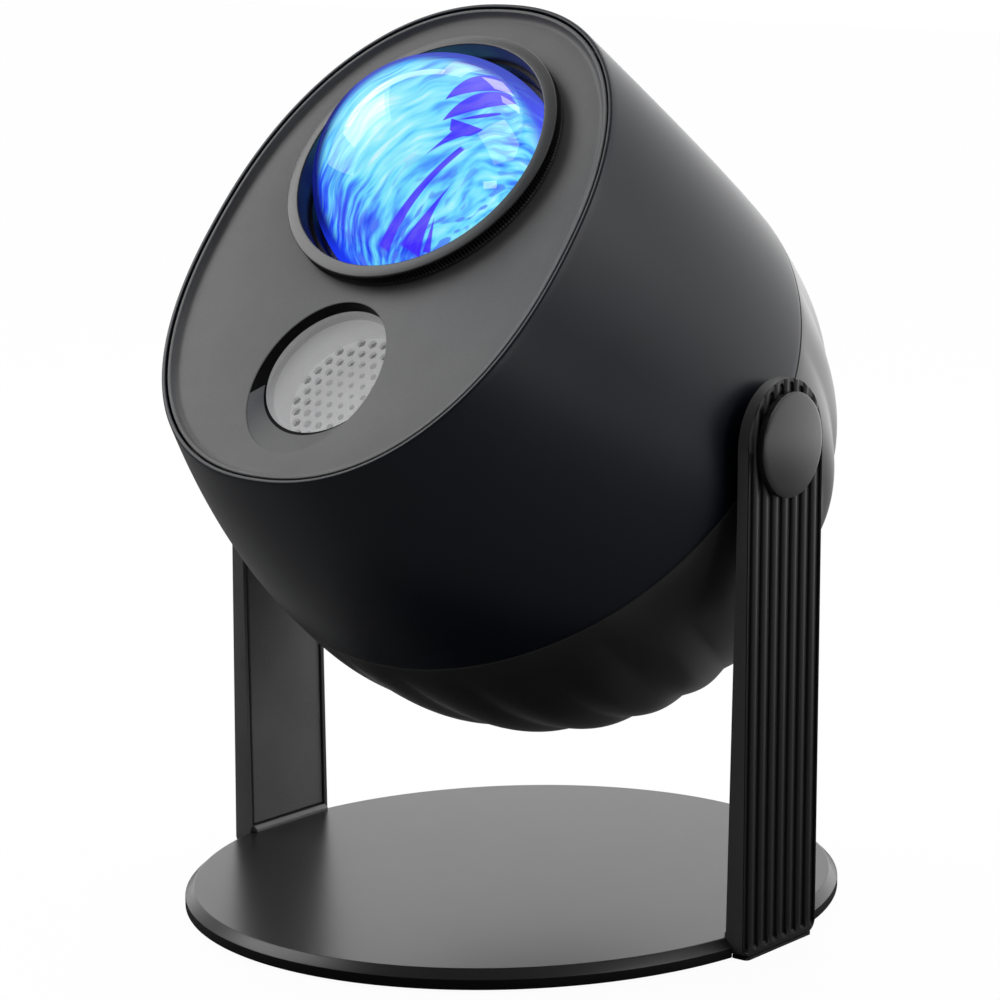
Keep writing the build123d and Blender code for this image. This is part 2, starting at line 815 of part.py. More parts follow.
# ------------------------------------------------------------------ chassis and light engine
with BuildPart() as chassis:
    with BuildSketch(level(chassis_back)):
        with Locations((0, ball_v)):
            Circle(chassis_r)
        with Locations((0, lens_v)):
            Circle(fin_r + 1.5, mode=Mode.SUBTRACT)
        with Locations((0, ball_v)):
            with PolarLocations(boss_ring_r, 4, start_angle=45):
                Circle(screw_hole_r, mode=Mode.SUBTRACT)
    extrude(amount=chassis_top - chassis_back)
    with BuildSketch(level(chassis_top)):
        with Locations(*post_spots):
            Circle(3.2)
            Circle(screw_hole_r, mode=Mode.SUBTRACT)
    extrude(amount=carrier_back - chassis_top)
    for side in (1, -1):
        with BuildSketch(SIDE.offset(side * 56.0)):
            with Locations((0, pivot_z)):
                Circle(8.0)
        extrude(amount=side * 7.5)
    for side in (1, -1):
        with BuildSketch(SIDE.offset(side * 55.0)):
            with Locations((0, pivot_z)):
                Circle(bush_r)
        extrude(amount=side * 15, mode=Mode.SUBTRACT)
    # standoffs for the main board
    with BuildSketch(level(chassis_back)):
        with Locations((0, main_board_v)):
            with GridLocations(*standoff_spread, 2, 2):
                Circle(standoff_r)
    extrude(amount=-standoff_long)

with BuildPart() as chassis_screws:
    with BuildSketch(level(chassis_back)):
        with Locations((0, ball_v)):
            with PolarLocations(boss_ring_r, 4, start_angle=45):
                Circle(screw_r)
    extrude(amount=9)
    with BuildSketch(level(chassis_back)):
        with Locations((0, ball_v)):
            with PolarLocations(boss_ring_r, 4, start_angle=45):
                Circle(2.4)
    extrude(amount=-1.6)

with BuildPart() as heat_sink:
    with BuildSketch(level(chassis_top)):
        with Locations((0, lens_v)):
            Circle(sink_r)
    extrude(amount=sink_top - chassis_top)
    with BuildSketch(level(chassis_top)):
        with Locations((0, lens_v)):
            with GridLocations(fin_pitch, 1, fin_count, 1):
                Rectangle(fin_thick, 2 * fin_r)
            Circle(fin_r, mode=Mode.INTERSECT)
    extrude(amount=-fin_long)

with BuildPart() as led_board:
    with BuildSketch(level(sink_top)):
        with Locations((0, lens_v)):
            Circle(led_board_r)
    extrude(amount=board_thick)

with BuildPart() as led_emitters:
    with BuildSketch(level(sink_top + board_thick)):
        with Locations((0, lens_v)):
            with GridLocations(led_pitch, led_pitch, 2, 2):
                Rectangle(led_size, led_size)
    extrude(amount=1.0)

with BuildPart() as reflector:
    with BuildSketch(LENS):
        with BuildLine():
            Polyline(
                (6.8, sink_top + board_thick),
                (8.2, sink_top + board_thick),
                (22.0, reflector_top),
                (20.6, reflector_top),
                close=True,
            )
        make_face()
    revolve(axis=Axis(LENS.origin, OUT))

condenser_curve = (condenser_r**2 + condenser_rise**2) / 2 / condenser_rise
with BuildPart() as condenser_lens:
    with BuildSketch(LENS):
        with Locations((0, reflector_top + condenser_edge + condenser_rise - condenser_curve)):
            Circle(condenser_curve)
        with Locations((0, reflector_top)):
            Rectangle(
                condenser_r,
                condenser_edge + condenser_rise + 1,
                align=(Align.MIN, Align.MIN),
                mode=Mode.INTERSECT,
            )
    revolve(axis=Axis(LENS.origin, OUT))

# ------------------------------------------------------------------ star projector
with BuildPart() as star_housing:
    with BuildSketch(level(chassis_top)):
        with Locations((0, window_v)):
            Circle(star_tube_r)
            Circle(star_tube_r - star_tube_wall, mode=Mode.SUBTRACT)
    extrude(amount=plate_back - chassis_top)
    with BuildSketch(level(star_floor)):
        with Locations((0, window_v)):
            Circle(star_tube_r - 0.5)
    extrude(amount=star_floor_thick)

star_deck = star_floor + star_floor_thick
with BuildPart() as laser_module:
    with BuildSketch(level(star_deck)):
        with Locations((laser_u, window_v)):
            Circle(laser_r)
    extrude(amount=laser_long)
    with BuildSketch(level(star_deck + laser_long - laser_bore_deep)):
        with Locations((laser_u, window_v)):
            Circle(laser_bore_r)
    extrude(amount=laser_bore_deep, mode=Mode.SUBTRACT)

with BuildPart() as star_motor:
    with BuildSketch(level(star_deck)):
        with Locations((star_motor_u, window_v)):
            Circle(star_motor_r)
    extrude(amount=star_motor_long)
    with BuildSketch(level(star_deck + star_motor_long)):
        with Locations((star_motor_u, window_v)):
            Circle(shaft_r)
    extrude(amount=star_wheel_l + 2.0 - star_deck - star_motor_long)

with BuildPart() as star_wheel:
    with BuildSketch(level(star_wheel_l)):
        with Locations((star_motor_u, window_v)):
            Circle(star_wheel_r)
            Circle(shaft_hole_r, mode=Mode.SUBTRACT)
            with PolarLocations(6.4, 3):
                Circle(1.6, mode=Mode.SUBTRACT)
    extrude(amount=star_wheel_thick)
    with BuildSketch(level(star_wheel_l - star_hub_high)):
        with Locations((star_motor_u, window_v)):
            Circle(star_hub_r)
            Circle(shaft_hole_r, mode=Mode.SUBTRACT)
    extrude(amount=star_hub_high)

# ------------------------------------------------------------------ electronics
board_top = chassis_back - standoff_long
with BuildPart() as main_board:
    with BuildSketch(level(board_top - board_thick)):
        with Locations((0, main_board_v)):
            RectangleRounded(*main_board_size, 3)
    extrude(amount=board_thick)

with BuildPart() as board_parts:
    with BuildSketch(level(board_top - board_thick)):
        with Locations((-16, -10)):
            Rectangle(12, 12)
        with Locations((10, -18)):
            Rectangle(8, 10)
        with Locations((24, -6)):
            Rectangle(10, 7)
    extrude(amount=-1.6)
    with BuildSketch(level(board_top - board_thick)):
        with Locations((-30, -26), (-22, -28)):
            Circle(3.0)
        with Locations((28, -26)):
            Rectangle(7, 7)
    extrude(amount=-6.0)

speaker_rim = speaker_seat + 2.0
with BuildPart() as speaker_basket:
    with BuildSketch(PROFILE):
        with BuildLine():
            Polyline(
                (17.0, speaker_rim),
                (21.0, speaker_rim),
                (21.0, speaker_rim + 1.6),
                (18.2, speaker_rim + 1.6),
                (9.4, speaker_rim + 12.0),
                (9.4, speaker_rim + 19.0),
                (0, speaker_rim + 19.0),
                (0, speaker_rim + 12.0),
                (7.8, speaker_rim + 12.0),
                close=True,
            )
        make_face()
    revolve(axis=Axis(PROFILE.origin, OUT))

with BuildPart() as speaker_cone:
    with BuildSketch(PROFILE):
        with BuildLine():
            Polyline(
                (17.0, speaker_rim),
                (16.2, speaker_rim),
                (6.0, speaker_rim + 9.8),
                (0, speaker_rim + 9.8),
                (0, speaker_rim + 10.4),
                (6.3, speaker_rim + 10.4),
                close=True,
            )
        make_face()
    revolve(axis=Axis(PROFILE.origin, OUT))

# ------------------------------------------------------------------ rear controls
REAR = PROFILE.origin
button_spots = [(u, ball_v + button_dv) for u in button_us]
inlet_spot = (0, ball_v + inlet_dv)


def rear_surface(r):
    """Height l of the rear dome at distance r from its axis."""
    return -rear_depth * sqrt(1 - (r / ball_r) ** 2)


with BuildPart() as rear_cap:
    with BuildSketch(PROFILE):
        Ellipse(ball_r - rear_cap_clear, rear_depth - rear_cap_clear)
        Ellipse(
            ball_r - rear_cap_clear - rear_cap_thick,
            rear_depth - rear_cap_clear - rear_cap_thick,
            mode=Mode.SUBTRACT,
        )
        with Locations((rear_cap_r / 2, -83)):
            Rectangle(rear_cap_r, 30, mode=Mode.INTERSECT)
        with BuildLine():
            Polyline(
                (rear_cap_r - 1.6, seat_back - 0.02),
                (rear_cap_r, seat_back - 0.02),
                (rear_cap_r, rear_surface(rear_cap_r) + 0.6),
                (rear_cap_r - 1.6, rear_surface(rear_cap_r) + 0.6),
                close=True,
            )
        make_face()
    revolve(axis=Axis(REAR, OUT))
    with BuildSketch(level(-90)):
        with Locations(*button_spots):
            Circle(button_r + 0.1)
        with Locations(inlet_spot):
            SlotOverall(2 * inlet_half_u, 2 * inlet_half_v)
        with Locations((0, ball_v - 1.6)):
            with GridLocations(3.4, 3.0, 6, 2):
                Circle(0.7)
    extrude(amount=16, mode=Mode.SUBTRACT)

button_names = ("power_button", "mode_button", "music_button")
buttons = {}
for name, spot in zip(button_names, button_spots):
    face_l = rear_surface(sqrt(spot[0] ** 2 + button_dv**2)) - button_proud
    with BuildPart() as button:
        with BuildSketch(level(face_l)):
            with Locations(spot):
                Circle(button_r)
        extrude(amount=key_back - face_l)
        fillet(button.edges().group_by(Axis(HEAD.origin, OUT))[0], 0.5)
        with BuildSketch(level(key_back)):
            with Locations(spot):
                Circle(button_r + key_flange)
        extrude(amount=key_flange_thick)
        with BuildSketch(level(key_back + key_flange_thick)):
            with Locations(spot):
                Circle(key_stem_r)
        extrude(amount=key_stem_long)
    buttons[name] = button

key_end = key_back + key_flange_thick + key_stem_long
with BuildPart() as button_board:
    with BuildSketch(level(button_board_back)):
        with Locations((0, ball_v)):
            Circle(button_board_r)
    extrude(amount=button_board_thick)
    with BuildSketch(level(button_board_back)):
        with Locations(*button_spots):
            Rectangle(switch_size, switch_size)
    extrude(amount=key_end + button_travel + run_fit - button_board_back)

with BuildPart() as power_inlet:
    with BuildSketch(level(-80.4)):
        with Locations(inlet_spot):
            SlotOverall(2 * inlet_half_u - 0.2, 2 * inlet_half_v - 0.2)
            SlotOverall(2 * inlet_half_u - 0.9, 2 * inlet_half_v - 0.9, mode=Mode.SUBTRACT)
    extrude(amount=7.8)
    with BuildSketch(level(-79.8)):
        with Locations(inlet_spot):
            Rectangle(6.6, 0.7)
    extrude(amount=7.2)
    with BuildSketch(level(-73.6)):
        with Locations(inlet_spot):
            SlotOverall(2 * inlet_half_u - 0.4, 2 * inlet_half_v - 0.4)
    extrude(amount=1.0)

# ------------------------------------------------------------------ write the pieces
pieces = {
    "base_plate": base_plate,
    "foot_pad": foot_pad,
    "right_arm": right_arm,
    "left_arm": left_arm,
    "right_arm_cover": right_arm_cover,
    "left_arm_cover": left_arm_cover,
    "right_foot_strip": right_foot_strip,
    "left_foot_strip": left_foot_strip,
    "right_foot_pad": right_foot_pad,
    "left_foot_pad": left_foot_pad,
    "arm_screws": arm_screws,
    "right_pivot_bolt": right_pivot_bolt,
    "left_pivot_bolt": left_pivot_bolt,
    "right_pivot_cap": right_pivot_cap,
    "left_pivot_cap": left_pivot_cap,
    "right_friction_washer": right_friction_washer,
    "left_friction_washer": left_friction_washer,
    "right_pivot_bush": right_pivot_bush,
    "left_pivot_bush": left_pivot_bush,
    "front_shell": front_shell,
    "rear_shell": rear_shell,
    "face_seal": face_seal,
    "face_panel": face_panel,
    "window_pane": window_pane,
    "star_plate": star_plate,
    "star_plate_retainer": star_plate_retainer,
    "lens_barrel": lens_barrel,
    "focus_ring": focus_ring,
    "lens_cell": lens_cell,
    "dome_lens": dome_lens,
    "ripple_gear": ripple_gear,
    "ripple_glass": ripple_glass,
    "drive_pinion": drive_pinion,
    "drive_motor": drive_motor,
    "disc_carrier": disc_carrier,
    "optics_screws": optics_screws,
    "chassis": chassis,
    "chassis_screws": chassis_screws,
    "heat_sink": heat_sink,
    "led_board": led_board,
    "led_emitters": led_emitters,
    "reflector": reflector,
    "condenser_lens": condenser_lens,
    "star_housing": star_housing,
    "laser_module": laser_module,
    "star_motor": star_motor,
    "star_wheel": star_wheel,
    "main_board": main_board,
    "board_parts": board_parts,
    "speaker_basket": speaker_basket,
    "speaker_cone": speaker_cone,
    "rear_cap": rear_cap,
    "button_board": button_board,
    "power_inlet": power_inlet,
    **buttons,
}
os.makedirs("parts", exist_ok=True)
for name, piece in pieces.items():
    piece.part.label = name
    export_step(piece.part, f"parts/{name}.step")
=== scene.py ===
import json
from math import cos, pi, radians, sin, sqrt

import bmesh
import bpy
import numpy as np
from mathutils import Matrix, Vector
from mathutils.geometry import delaunay_2d_cdt


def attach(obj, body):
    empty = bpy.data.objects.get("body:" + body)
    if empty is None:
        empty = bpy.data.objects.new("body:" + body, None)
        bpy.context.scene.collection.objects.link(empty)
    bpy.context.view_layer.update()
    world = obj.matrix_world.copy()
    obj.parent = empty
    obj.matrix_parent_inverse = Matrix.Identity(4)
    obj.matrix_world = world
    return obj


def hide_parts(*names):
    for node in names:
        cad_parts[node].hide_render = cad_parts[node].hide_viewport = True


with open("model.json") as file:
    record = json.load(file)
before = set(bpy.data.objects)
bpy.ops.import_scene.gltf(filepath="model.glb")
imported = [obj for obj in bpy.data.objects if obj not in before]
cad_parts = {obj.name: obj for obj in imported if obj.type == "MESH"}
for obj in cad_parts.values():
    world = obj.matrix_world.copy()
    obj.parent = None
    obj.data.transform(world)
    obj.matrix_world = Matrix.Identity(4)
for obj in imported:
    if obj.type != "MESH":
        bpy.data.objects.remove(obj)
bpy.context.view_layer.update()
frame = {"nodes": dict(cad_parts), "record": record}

# Star and nebula projector. Sizes in this script are millimetres; MM turns them into Blender's metres.
# Head measures are (u, v, l): u along X, v up the lens face, l out of it, from the tilt axis' middle.
MM = 0.001

PIVOT_Z = 111.5
TILT = radians(42.0)
OUT = np.array((0.0, -cos(TILT), sin(TILT)))
UP = np.array((0.0, sin(TILT), cos(TILT)))
ACROSS = np.array((1.0, 0.0, 0.0))
HEAD_CENTRE = np.array((0.0, 0.0, PIVOT_Z))

BALL_R = 69.5
BALL_V = 1.4
FLAT_X = 68.97
FRONT_L = 63.2
FACE_V = 1.9
LENS_V = 22.3
WINDOW_V = -30.4


# ------------------------------------------------------------------ camera and softboxes
def camera():
    """Long lens, turned 38 degrees to the stand's right and 10.5 degrees above level."""
    turn, lift = radians(37.77), radians(10.52)
    right = Vector((cos(turn), sin(turn), 0))
    back = Vector((sin(turn) * cos(lift), -cos(turn) * cos(lift), sin(lift)))
    up = back.cross(right)
    aim_right, aim_height, distance = -3.3, 91.09, 838.72
    place = Vector((0, 0, aim_height)) + right * aim_right + back * distance
    data = bpy.data.cameras.new("view")
    data.sensor_width = 36.0
    data.lens = 133.67
    data.clip_start = 0.05
    cam = bpy.data.objects.new("view", data)
    facing = Matrix((right, up, back)).transposed().to_4x4()
    cam.matrix_world = Matrix.Translation(place * MM) @ facing
    bpy.context.scene.collection.objects.link(cam)
    bpy.context.scene.camera = cam


def softbox(name, place, aim, size, watts, upward=(0, 0, 1)):
    """Rectangular area lamp at place (mm) that faces aim; its second side runs the upward way."""
    lamp = bpy.data.lights.new(name, "AREA")
    lamp.shape = "RECTANGLE"
    lamp.size, lamp.size_y = size[0] * MM, size[1] * MM
    lamp.energy = watts
    lamp_object = bpy.data.objects.new(name, lamp)
    back = (Vector(place) - Vector(aim)).normalized()
    side = Vector(upward).cross(back).normalized()
    facing = Matrix((side, back.cross(side), back)).transposed().to_4x4()
    lamp_object.matrix_world = Matrix.Translation(Vector(place) * MM) @ facing
    bpy.context.scene.collection.objects.link(lamp_object)


# ------------------------------------------------------------------ materials' nodes
class Socket:
    """One node socket with arithmetic, so that a mask reads as a formula."""

    def __init__(self, tree, link):
        self.tree = tree
        self.link = link

    def math(self, operation, *others, clamp=False):
        """A Math node fed with this socket and up to two more values or sockets."""
        fed = {f"i{number}": value for number, value in enumerate((self, *others))}
        settings = {"operation": operation, "use_clamp": clamp}
        return read_node(self.tree, "ShaderNodeMath", settings, **fed)

    def __add__(self, other):
        return self.math("ADD", other)

    __radd__ = __add__

    def __sub__(self, other):
        return self.math("SUBTRACT", other)

    def __rsub__(self, other):
        return (self * -1.0) + other

    def __mul__(self, other):
        return self.math("MULTIPLY", other)

    __rmul__ = __mul__

    def __truediv__(self, other):
        return self.math("DIVIDE", other)

    def __pow__(self, other):
        return self.math("POWER", other)

    def clip(self):
        """The value held between 0 and 1."""
        return self.math("ADD", 0.0, clamp=True)

    def high(self, other):
        """The larger of the two values."""
        return self.math("MAXIMUM", other)

    def step(self, start, end):
        """Smooth rise from 0 at start to 1 at end; start may lie above end."""
        if not isinstance(start, Socket) and not isinstance(end, Socket):
            return smooth(((self - start) * (1.0 / (end - start))).clip())
        return smooth(((self - start) / (end - start)).clip())


def smooth(x):
    """The curve 3 x^2 - 2 x^3, which starts and ends level; x is a socket or an array."""
    return x * x * (3.0 - 2.0 * x)


def feed(tree, spot, value):
    """Links a socket to the spot or sets the spot's own value; a colour gets its alpha here."""
    if isinstance(value, Socket):
        tree.links.new(value.link, spot)
    elif spot.type == "RGBA":
        spot.default_value = (*value, 1.0)
    else:
        spot.default_value = value


def add_node(tree, kind, settings=None, **inputs):
    """A node with its settings, fed by the inputs' names, or i0, i1 and so on for their numbers."""
    node = tree.nodes.new(kind)
    for key, value in (settings or {}).items():
        if key == "stops":
            ramp = node.color_ramp
            while len(ramp.elements) < len(value):
                ramp.elements.new(0.5)
            for element, (place, colour) in zip(ramp.elements, value):
                element.position = place
                element.color = (*colour, 1.0)
        else:
            setattr(node, key, value)
    for key, value in inputs.items():
        numbered = key[0] == "i" and key[1:].isdigit()
        feed(tree, node.inputs[int(key[1:]) if numbered else key], value)
    return node


def read_node(tree, kind, settings=None, output=0, **inputs):
    """The socket of one output of a new node."""
    return Socket(tree, add_node(tree, kind, settings, **inputs).outputs[output])


COAT_ROUGHNESS = 0.02
GRAIN_DEPTH, ROUGH_SPREAD = 0.02, 0.03


class Finish:
    """A material under way: its tree, its Principled shader and its Object coordinates."""

    def __init__(self, name, colour, roughness, metallic=0.0, coat=0.0, specular=0.5):
        self.material = bpy.data.materials.new(name)
        self.material.use_nodes = True
        self.tree = self.material.node_tree
        self.shader = self.tree.nodes["Principled BSDF"]
        self.set("Base Color", colour)
        self.set("Roughness", roughness)
        self.set("Metallic", metallic)
        self.set("Coat Weight", coat)
        self.set("Coat Roughness", COAT_ROUGHNESS)
        self.set("Specular IOR Level", specular)
        self.place = read_node(self.tree, "ShaderNodeTexCoord", output="Object")

    def set(self, name, value):
        """One of the shader's inputs, as a value or a socket."""
        feed(self.tree, self.shader.inputs[name], value)

    def mapped(self, shift=(0, 0, 0), turn=(0, 0, 0), scale=(1, 1, 1)):
        """Object coordinates moved, turned and scaled by a Mapping node of the texture kind."""
        return read_node(
            self.tree, "ShaderNodeMapping", {"vector_type": "TEXTURE"},
            Vector=self.place, Location=shift, Rotation=turn, Scale=scale,
        )

    def join(self, x, y, z):
        """A vector from three values."""
        return read_node(self.tree, "ShaderNodeCombineXYZ", X=x, Y=y, Z=z)

    def along(self, vector, way):
        """The vector's measure in a fixed direction."""
        settings = {"operation": "DOT_PRODUCT"}
        return read_node(self.tree, "ShaderNodeVectorMath", settings, "Value", i0=vector, i1=way)

    def noise(self, vector, scale, detail=2.0):
        """Smooth noise between 0 and 1, round 0.5."""
        return read_node(
            self.tree, "ShaderNodeTexNoise", output="Fac", Vector=vector, Scale=scale, Detail=detail
        )

    def mix(self, mask, first, second):
        """The first colour where the mask is 0 and the second where it is 1."""
        settings = {"data_type": "RGBA"}
        return read_node(self.tree, "ShaderNodeMix", settings, 2, i0=mask, i6=first, i7=second)

    def ramp(self, value, stops):
        """A colour from stops of (place, colour)."""
        return read_node(self.tree, "ShaderNodeValToRGB", {"stops": stops}, Fac=value)

    def bump(self, height, strength, depth_mm):
        """Relief from a height between 0 and 1, depth_mm deep."""
        relief = read_node(
            self.tree, "ShaderNodeBump", Height=height, Strength=strength, Distance=depth_mm * MM
        )
        self.set("Normal", relief)

    def head_place(self):
        """Object coordinates as (u, v, l) in millimetres, which stay with the head as it tilts."""
        return self.mapped(
            shift=(0, 0, PIVOT_Z * MM), turn=(pi / 2 - TILT, 0, 0), scale=(MM, MM, MM)
        )


def spread_colour(finish, mask, colour, spread):
    """Mottling: the colour a share darker where the mask is 0 and a share lighter where it is 1."""
    darker = tuple(c * (1 - spread) for c in colour)
    lighter = tuple(c * (1 + spread) for c in colour)
    finish.set("Base Color", finish.mix(mask, darker, lighter))


def grained(finish, colour, spread, scale, strength, roughness):
    """Moulded or powder-coated skin: fine grain in height, faint mottling in colour and gloss."""
    fine = finish.noise(finish.place, scale, detail=3.0)
    broad = finish.noise(finish.place, scale * 0.02)
    spread_colour(finish, (fine * 0.5 + broad * 0.5).step(0.3, 0.7), colour, spread)
    finish.set("Roughness", broad * ROUGH_SPREAD + (roughness - ROUGH_SPREAD / 2))
    finish.bump(fine, strength, GRAIN_DEPTH)
    return finish.material


# ------------------------------------------------------------------ meshes
QUARTER = np.linspace(0, pi / 2, 5)
SHELL_WALL = 2.2


def turns(count):
    """That many equal steps round a full turn."""
    return np.arange(count) * 2 * pi / count


def quarter_round(near, roll):
    """How far a face sinks in a quarter circle of radius roll at that distance from its edge."""
    return roll - np.sqrt(roll**2 - (roll - near) ** 2)


def head_measures(points, middle_v):
    """Each point's distance from the beam-wise axis through (0, middle_v), and its l."""
    from_middle = points - HEAD_CENTRE
    return np.hypot(points[:, 0], from_middle @ UP - middle_v), from_middle @ OUT


def head(u, v, l):
    """Head measures to the frame, all arrays of one shape; the last axis of the result is x, y, z."""
    u, v, l = np.broadcast_arrays(u, v, l)
    return HEAD_CENTRE + u[..., None] * ACROSS + v[..., None] * UP + l[..., None] * OUT


def grid_faces(rows, columns, close_rows=False, close_columns=False):
    """Quads between neighbouring rows and columns of a grid whose points are stored row by row."""
    down = np.arange(rows if close_rows else rows - 1)
    over = np.arange(columns if close_columns else columns - 1)
    a, b = np.meshgrid(down, over, indexing="ij")
    a2, b2 = (a + 1) % rows, (b + 1) % columns
    quads = np.stack((a * columns + b, a * columns + b2, a2 * columns + b2, a2 * columns + b), -1)
    return quads.reshape(-1, 4)


def mesh_piece(name, parts, material, body, node, smooth_angle=35.0):
    """One piece from (points in mm, faces) parts in place of a node: doubles merged, faces outwards,
    edges sharper than smooth_angle kept crisp."""
    points, faces, start = [], [], 0
    for part_points, part_faces in parts:
        flat = np.asarray(part_points, float).reshape(-1, 3)
        points.append(flat)
        faces += (np.asarray(part_faces) + start).tolist()
        start += len(flat)
    mesh = bpy.data.meshes.new(name)
    mesh.from_pydata((np.concatenate(points) * MM).tolist(), [], faces)
    work = bmesh.new()
    work.from_mesh(mesh)
    bmesh.ops.remove_doubles(work, verts=work.verts, dist=0.002 * MM)
    bmesh.ops.dissolve_degenerate(work, edges=work.edges, dist=0.002 * MM)
    bmesh.ops.recalc_face_normals(work, faces=work.faces)
    work.to_mesh(mesh)
    work.free()
    mesh.shade_smooth()
    mesh.set_sharp_from_angle(angle=radians(smooth_angle))
    mesh.materials.append(material)
    piece = bpy.data.objects.new(name, mesh)
    bpy.context.scene.collection.objects.link(piece)
    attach(piece, body)
    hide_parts(node)
    return piece


def more_material(piece, material, chosen):
    """Gives the material to the faces that chosen picks from their normals and centres in mm."""
    piece.data.materials.append(material)
    count = len(piece.data.polygons)
    normals, centres = np.empty(count * 3), np.empty(count * 3)
    piece.data.polygons.foreach_get("normal", normals)
    piece.data.polygons.foreach_get("center", centres)
    picked = chosen(normals.reshape(-1, 3), centres.reshape(-1, 3) / MM)
    numbers = np.empty(count, np.int32)
    piece.data.polygons.foreach_get("material_index", numbers)
    numbers[picked] = len(piece.data.materials) - 1
    piece.data.polygons.foreach_set("material_index", numbers)


def skin_pair(outer, inner):
    """Two grids of one outline as the two skins of a closed solid, with the wall between their rims."""
    rows, columns = outer.shape[:2]
    rim = [(i, 0) for i in range(rows)] + [(rows - 1, j) for j in range(1, columns)]
    rim += [(i, columns - 1) for i in range(rows - 2, -1, -1)]
    rim += [(0, j) for j in range(columns - 2, 0, -1)]
    rim = np.array(rim)
    wall = np.stack((outer[rim[:, 0], rim[:, 1]], inner[rim[:, 0], rim[:, 1]]))
    faces = grid_faces(rows, columns)
    closing = grid_faces(2, len(rim), close_columns=True)
    return [(outer, faces), (inner, faces[:, ::-1]), (wall, closing)]


def superellipse(turn, half_u, half_v, centre_v, exponent):
    """Oval whose u and v are the turn's cosine and sine, each raised to 2 over the exponent."""
    c, s = np.cos(turn), np.sin(turn)
    u = half_u * np.sign(c) * np.abs(c) ** (2 / exponent)
    v = centre_v + half_v * np.sign(s) * np.abs(s) ** (2 / exponent)
    return u, v


def rounded(start, corner, end, radius, steps=5):
    """Profile points that turn from the way start-corner into the way corner-end on an arc."""
    start, corner, end = (np.asarray(p, float) for p in (start, corner, end))
    back = (start - corner) / np.linalg.norm(start - corner)
    on = (end - corner) / np.linalg.norm(end - corner)
    half = np.arccos(np.clip(back @ on, -1, 1)) / 2
    reach = radius / np.tan(half)
    middle = corner + (back + on) / np.linalg.norm(back + on) * radius / np.sin(half)
    first, last = corner + back * reach - middle, corner + on * reach - middle
    sweep = pi - 2 * half
    share = np.linspace(0, 1, steps)[:, None]
    arc = (np.sin((1 - share) * sweep) * first + np.sin(share * sweep) * last) / np.sin(sweep)
    return [tuple(p) for p in middle + arc]


def profile(*corners):
    """A profile from (x, y) or (x, y, radius) corners, the rounded ones as arcs."""
    path = []
    for i, corner in enumerate(corners):
        if len(corner) == 3 and corner[2] > 0 and 0 < i < len(corners) - 1:
            path += rounded(corners[i - 1][:2], corner[:2], corners[i + 1][:2], corner[2])
        else:
            path.append(tuple(corner[:2]))
    return np.array(path)


def turned(path, middle_v, count, closed=True):
    """A profile of (radius, l) carried round the beam's way at (0, middle_v)."""
    turn = turns(count)
    r, l = path[:, 0][:, None], path[:, 1][:, None]
    points = head(r * np.cos(turn), middle_v + r * np.sin(turn), l + 0 * turn)
    return points, grid_faces(len(path), count, close_rows=closed, close_columns=True)


def turned_x(path, side, count=96):
    """A profile of (radius, x) carried round the tilt axis, on the side of that sign."""
    turn = turns(count)
    r, x = path[:, 0][:, None], path[:, 1][:, None]
    points = np.stack(
        np.broadcast_arrays(side * x + 0 * turn, r * np.cos(turn), PIVOT_Z + r * np.sin(turn)), -1
    )
    return points, grid_faces(len(path), count, close_columns=True)


# ------------------------------------------------------------------ head shells
FRONT_HALF_U, FRONT_HALF_V = 49.0, 63.6
MOUTH_HALF_U, MOUTH_HALF_V = 48.1, 62.7
LEDGE_L, LEDGE_HALF_U, LEDGE_HALF_V = 58.8, 45.0, 59.5
LEDGE_THICK = 2.8
FACE_EXPONENT = 2.24
OVAL_STEPS = 240
# Each seam edge is rolled over by these insets at these distances from the parting plane.
SEAM_EDGE = ((0.05, 0.45), (0.12, 0.2), (0.3, 0.04))


def front_row(l, inset, turn):
    """Shell section at l: a circle of the ball at the seam that narrows into the face oval."""
    s = l / FRONT_L
    half_u = BALL_R - (BALL_R - FRONT_HALF_U) * s**1.21 - inset
    half_v = BALL_R - (BALL_R - FRONT_HALF_V) * s**1.64 - inset
    centre_v = BALL_V + (FACE_V - BALL_V) * s - 3.5 * s * (1 - s)
    u, v = superellipse(turn, half_u, half_v, centre_v, 2 + 0.24 * s)
    return head(np.clip(u, -FLAT_X, FLAT_X), v, np.full_like(u, l))


def face_row(l, half_u, half_v, turn):
    """One turn of the face's own oval at l."""
    u, v = superellipse(turn, half_u, half_v, FACE_V, FACE_EXPONENT)
    return head(u, v, np.full_like(u, l))


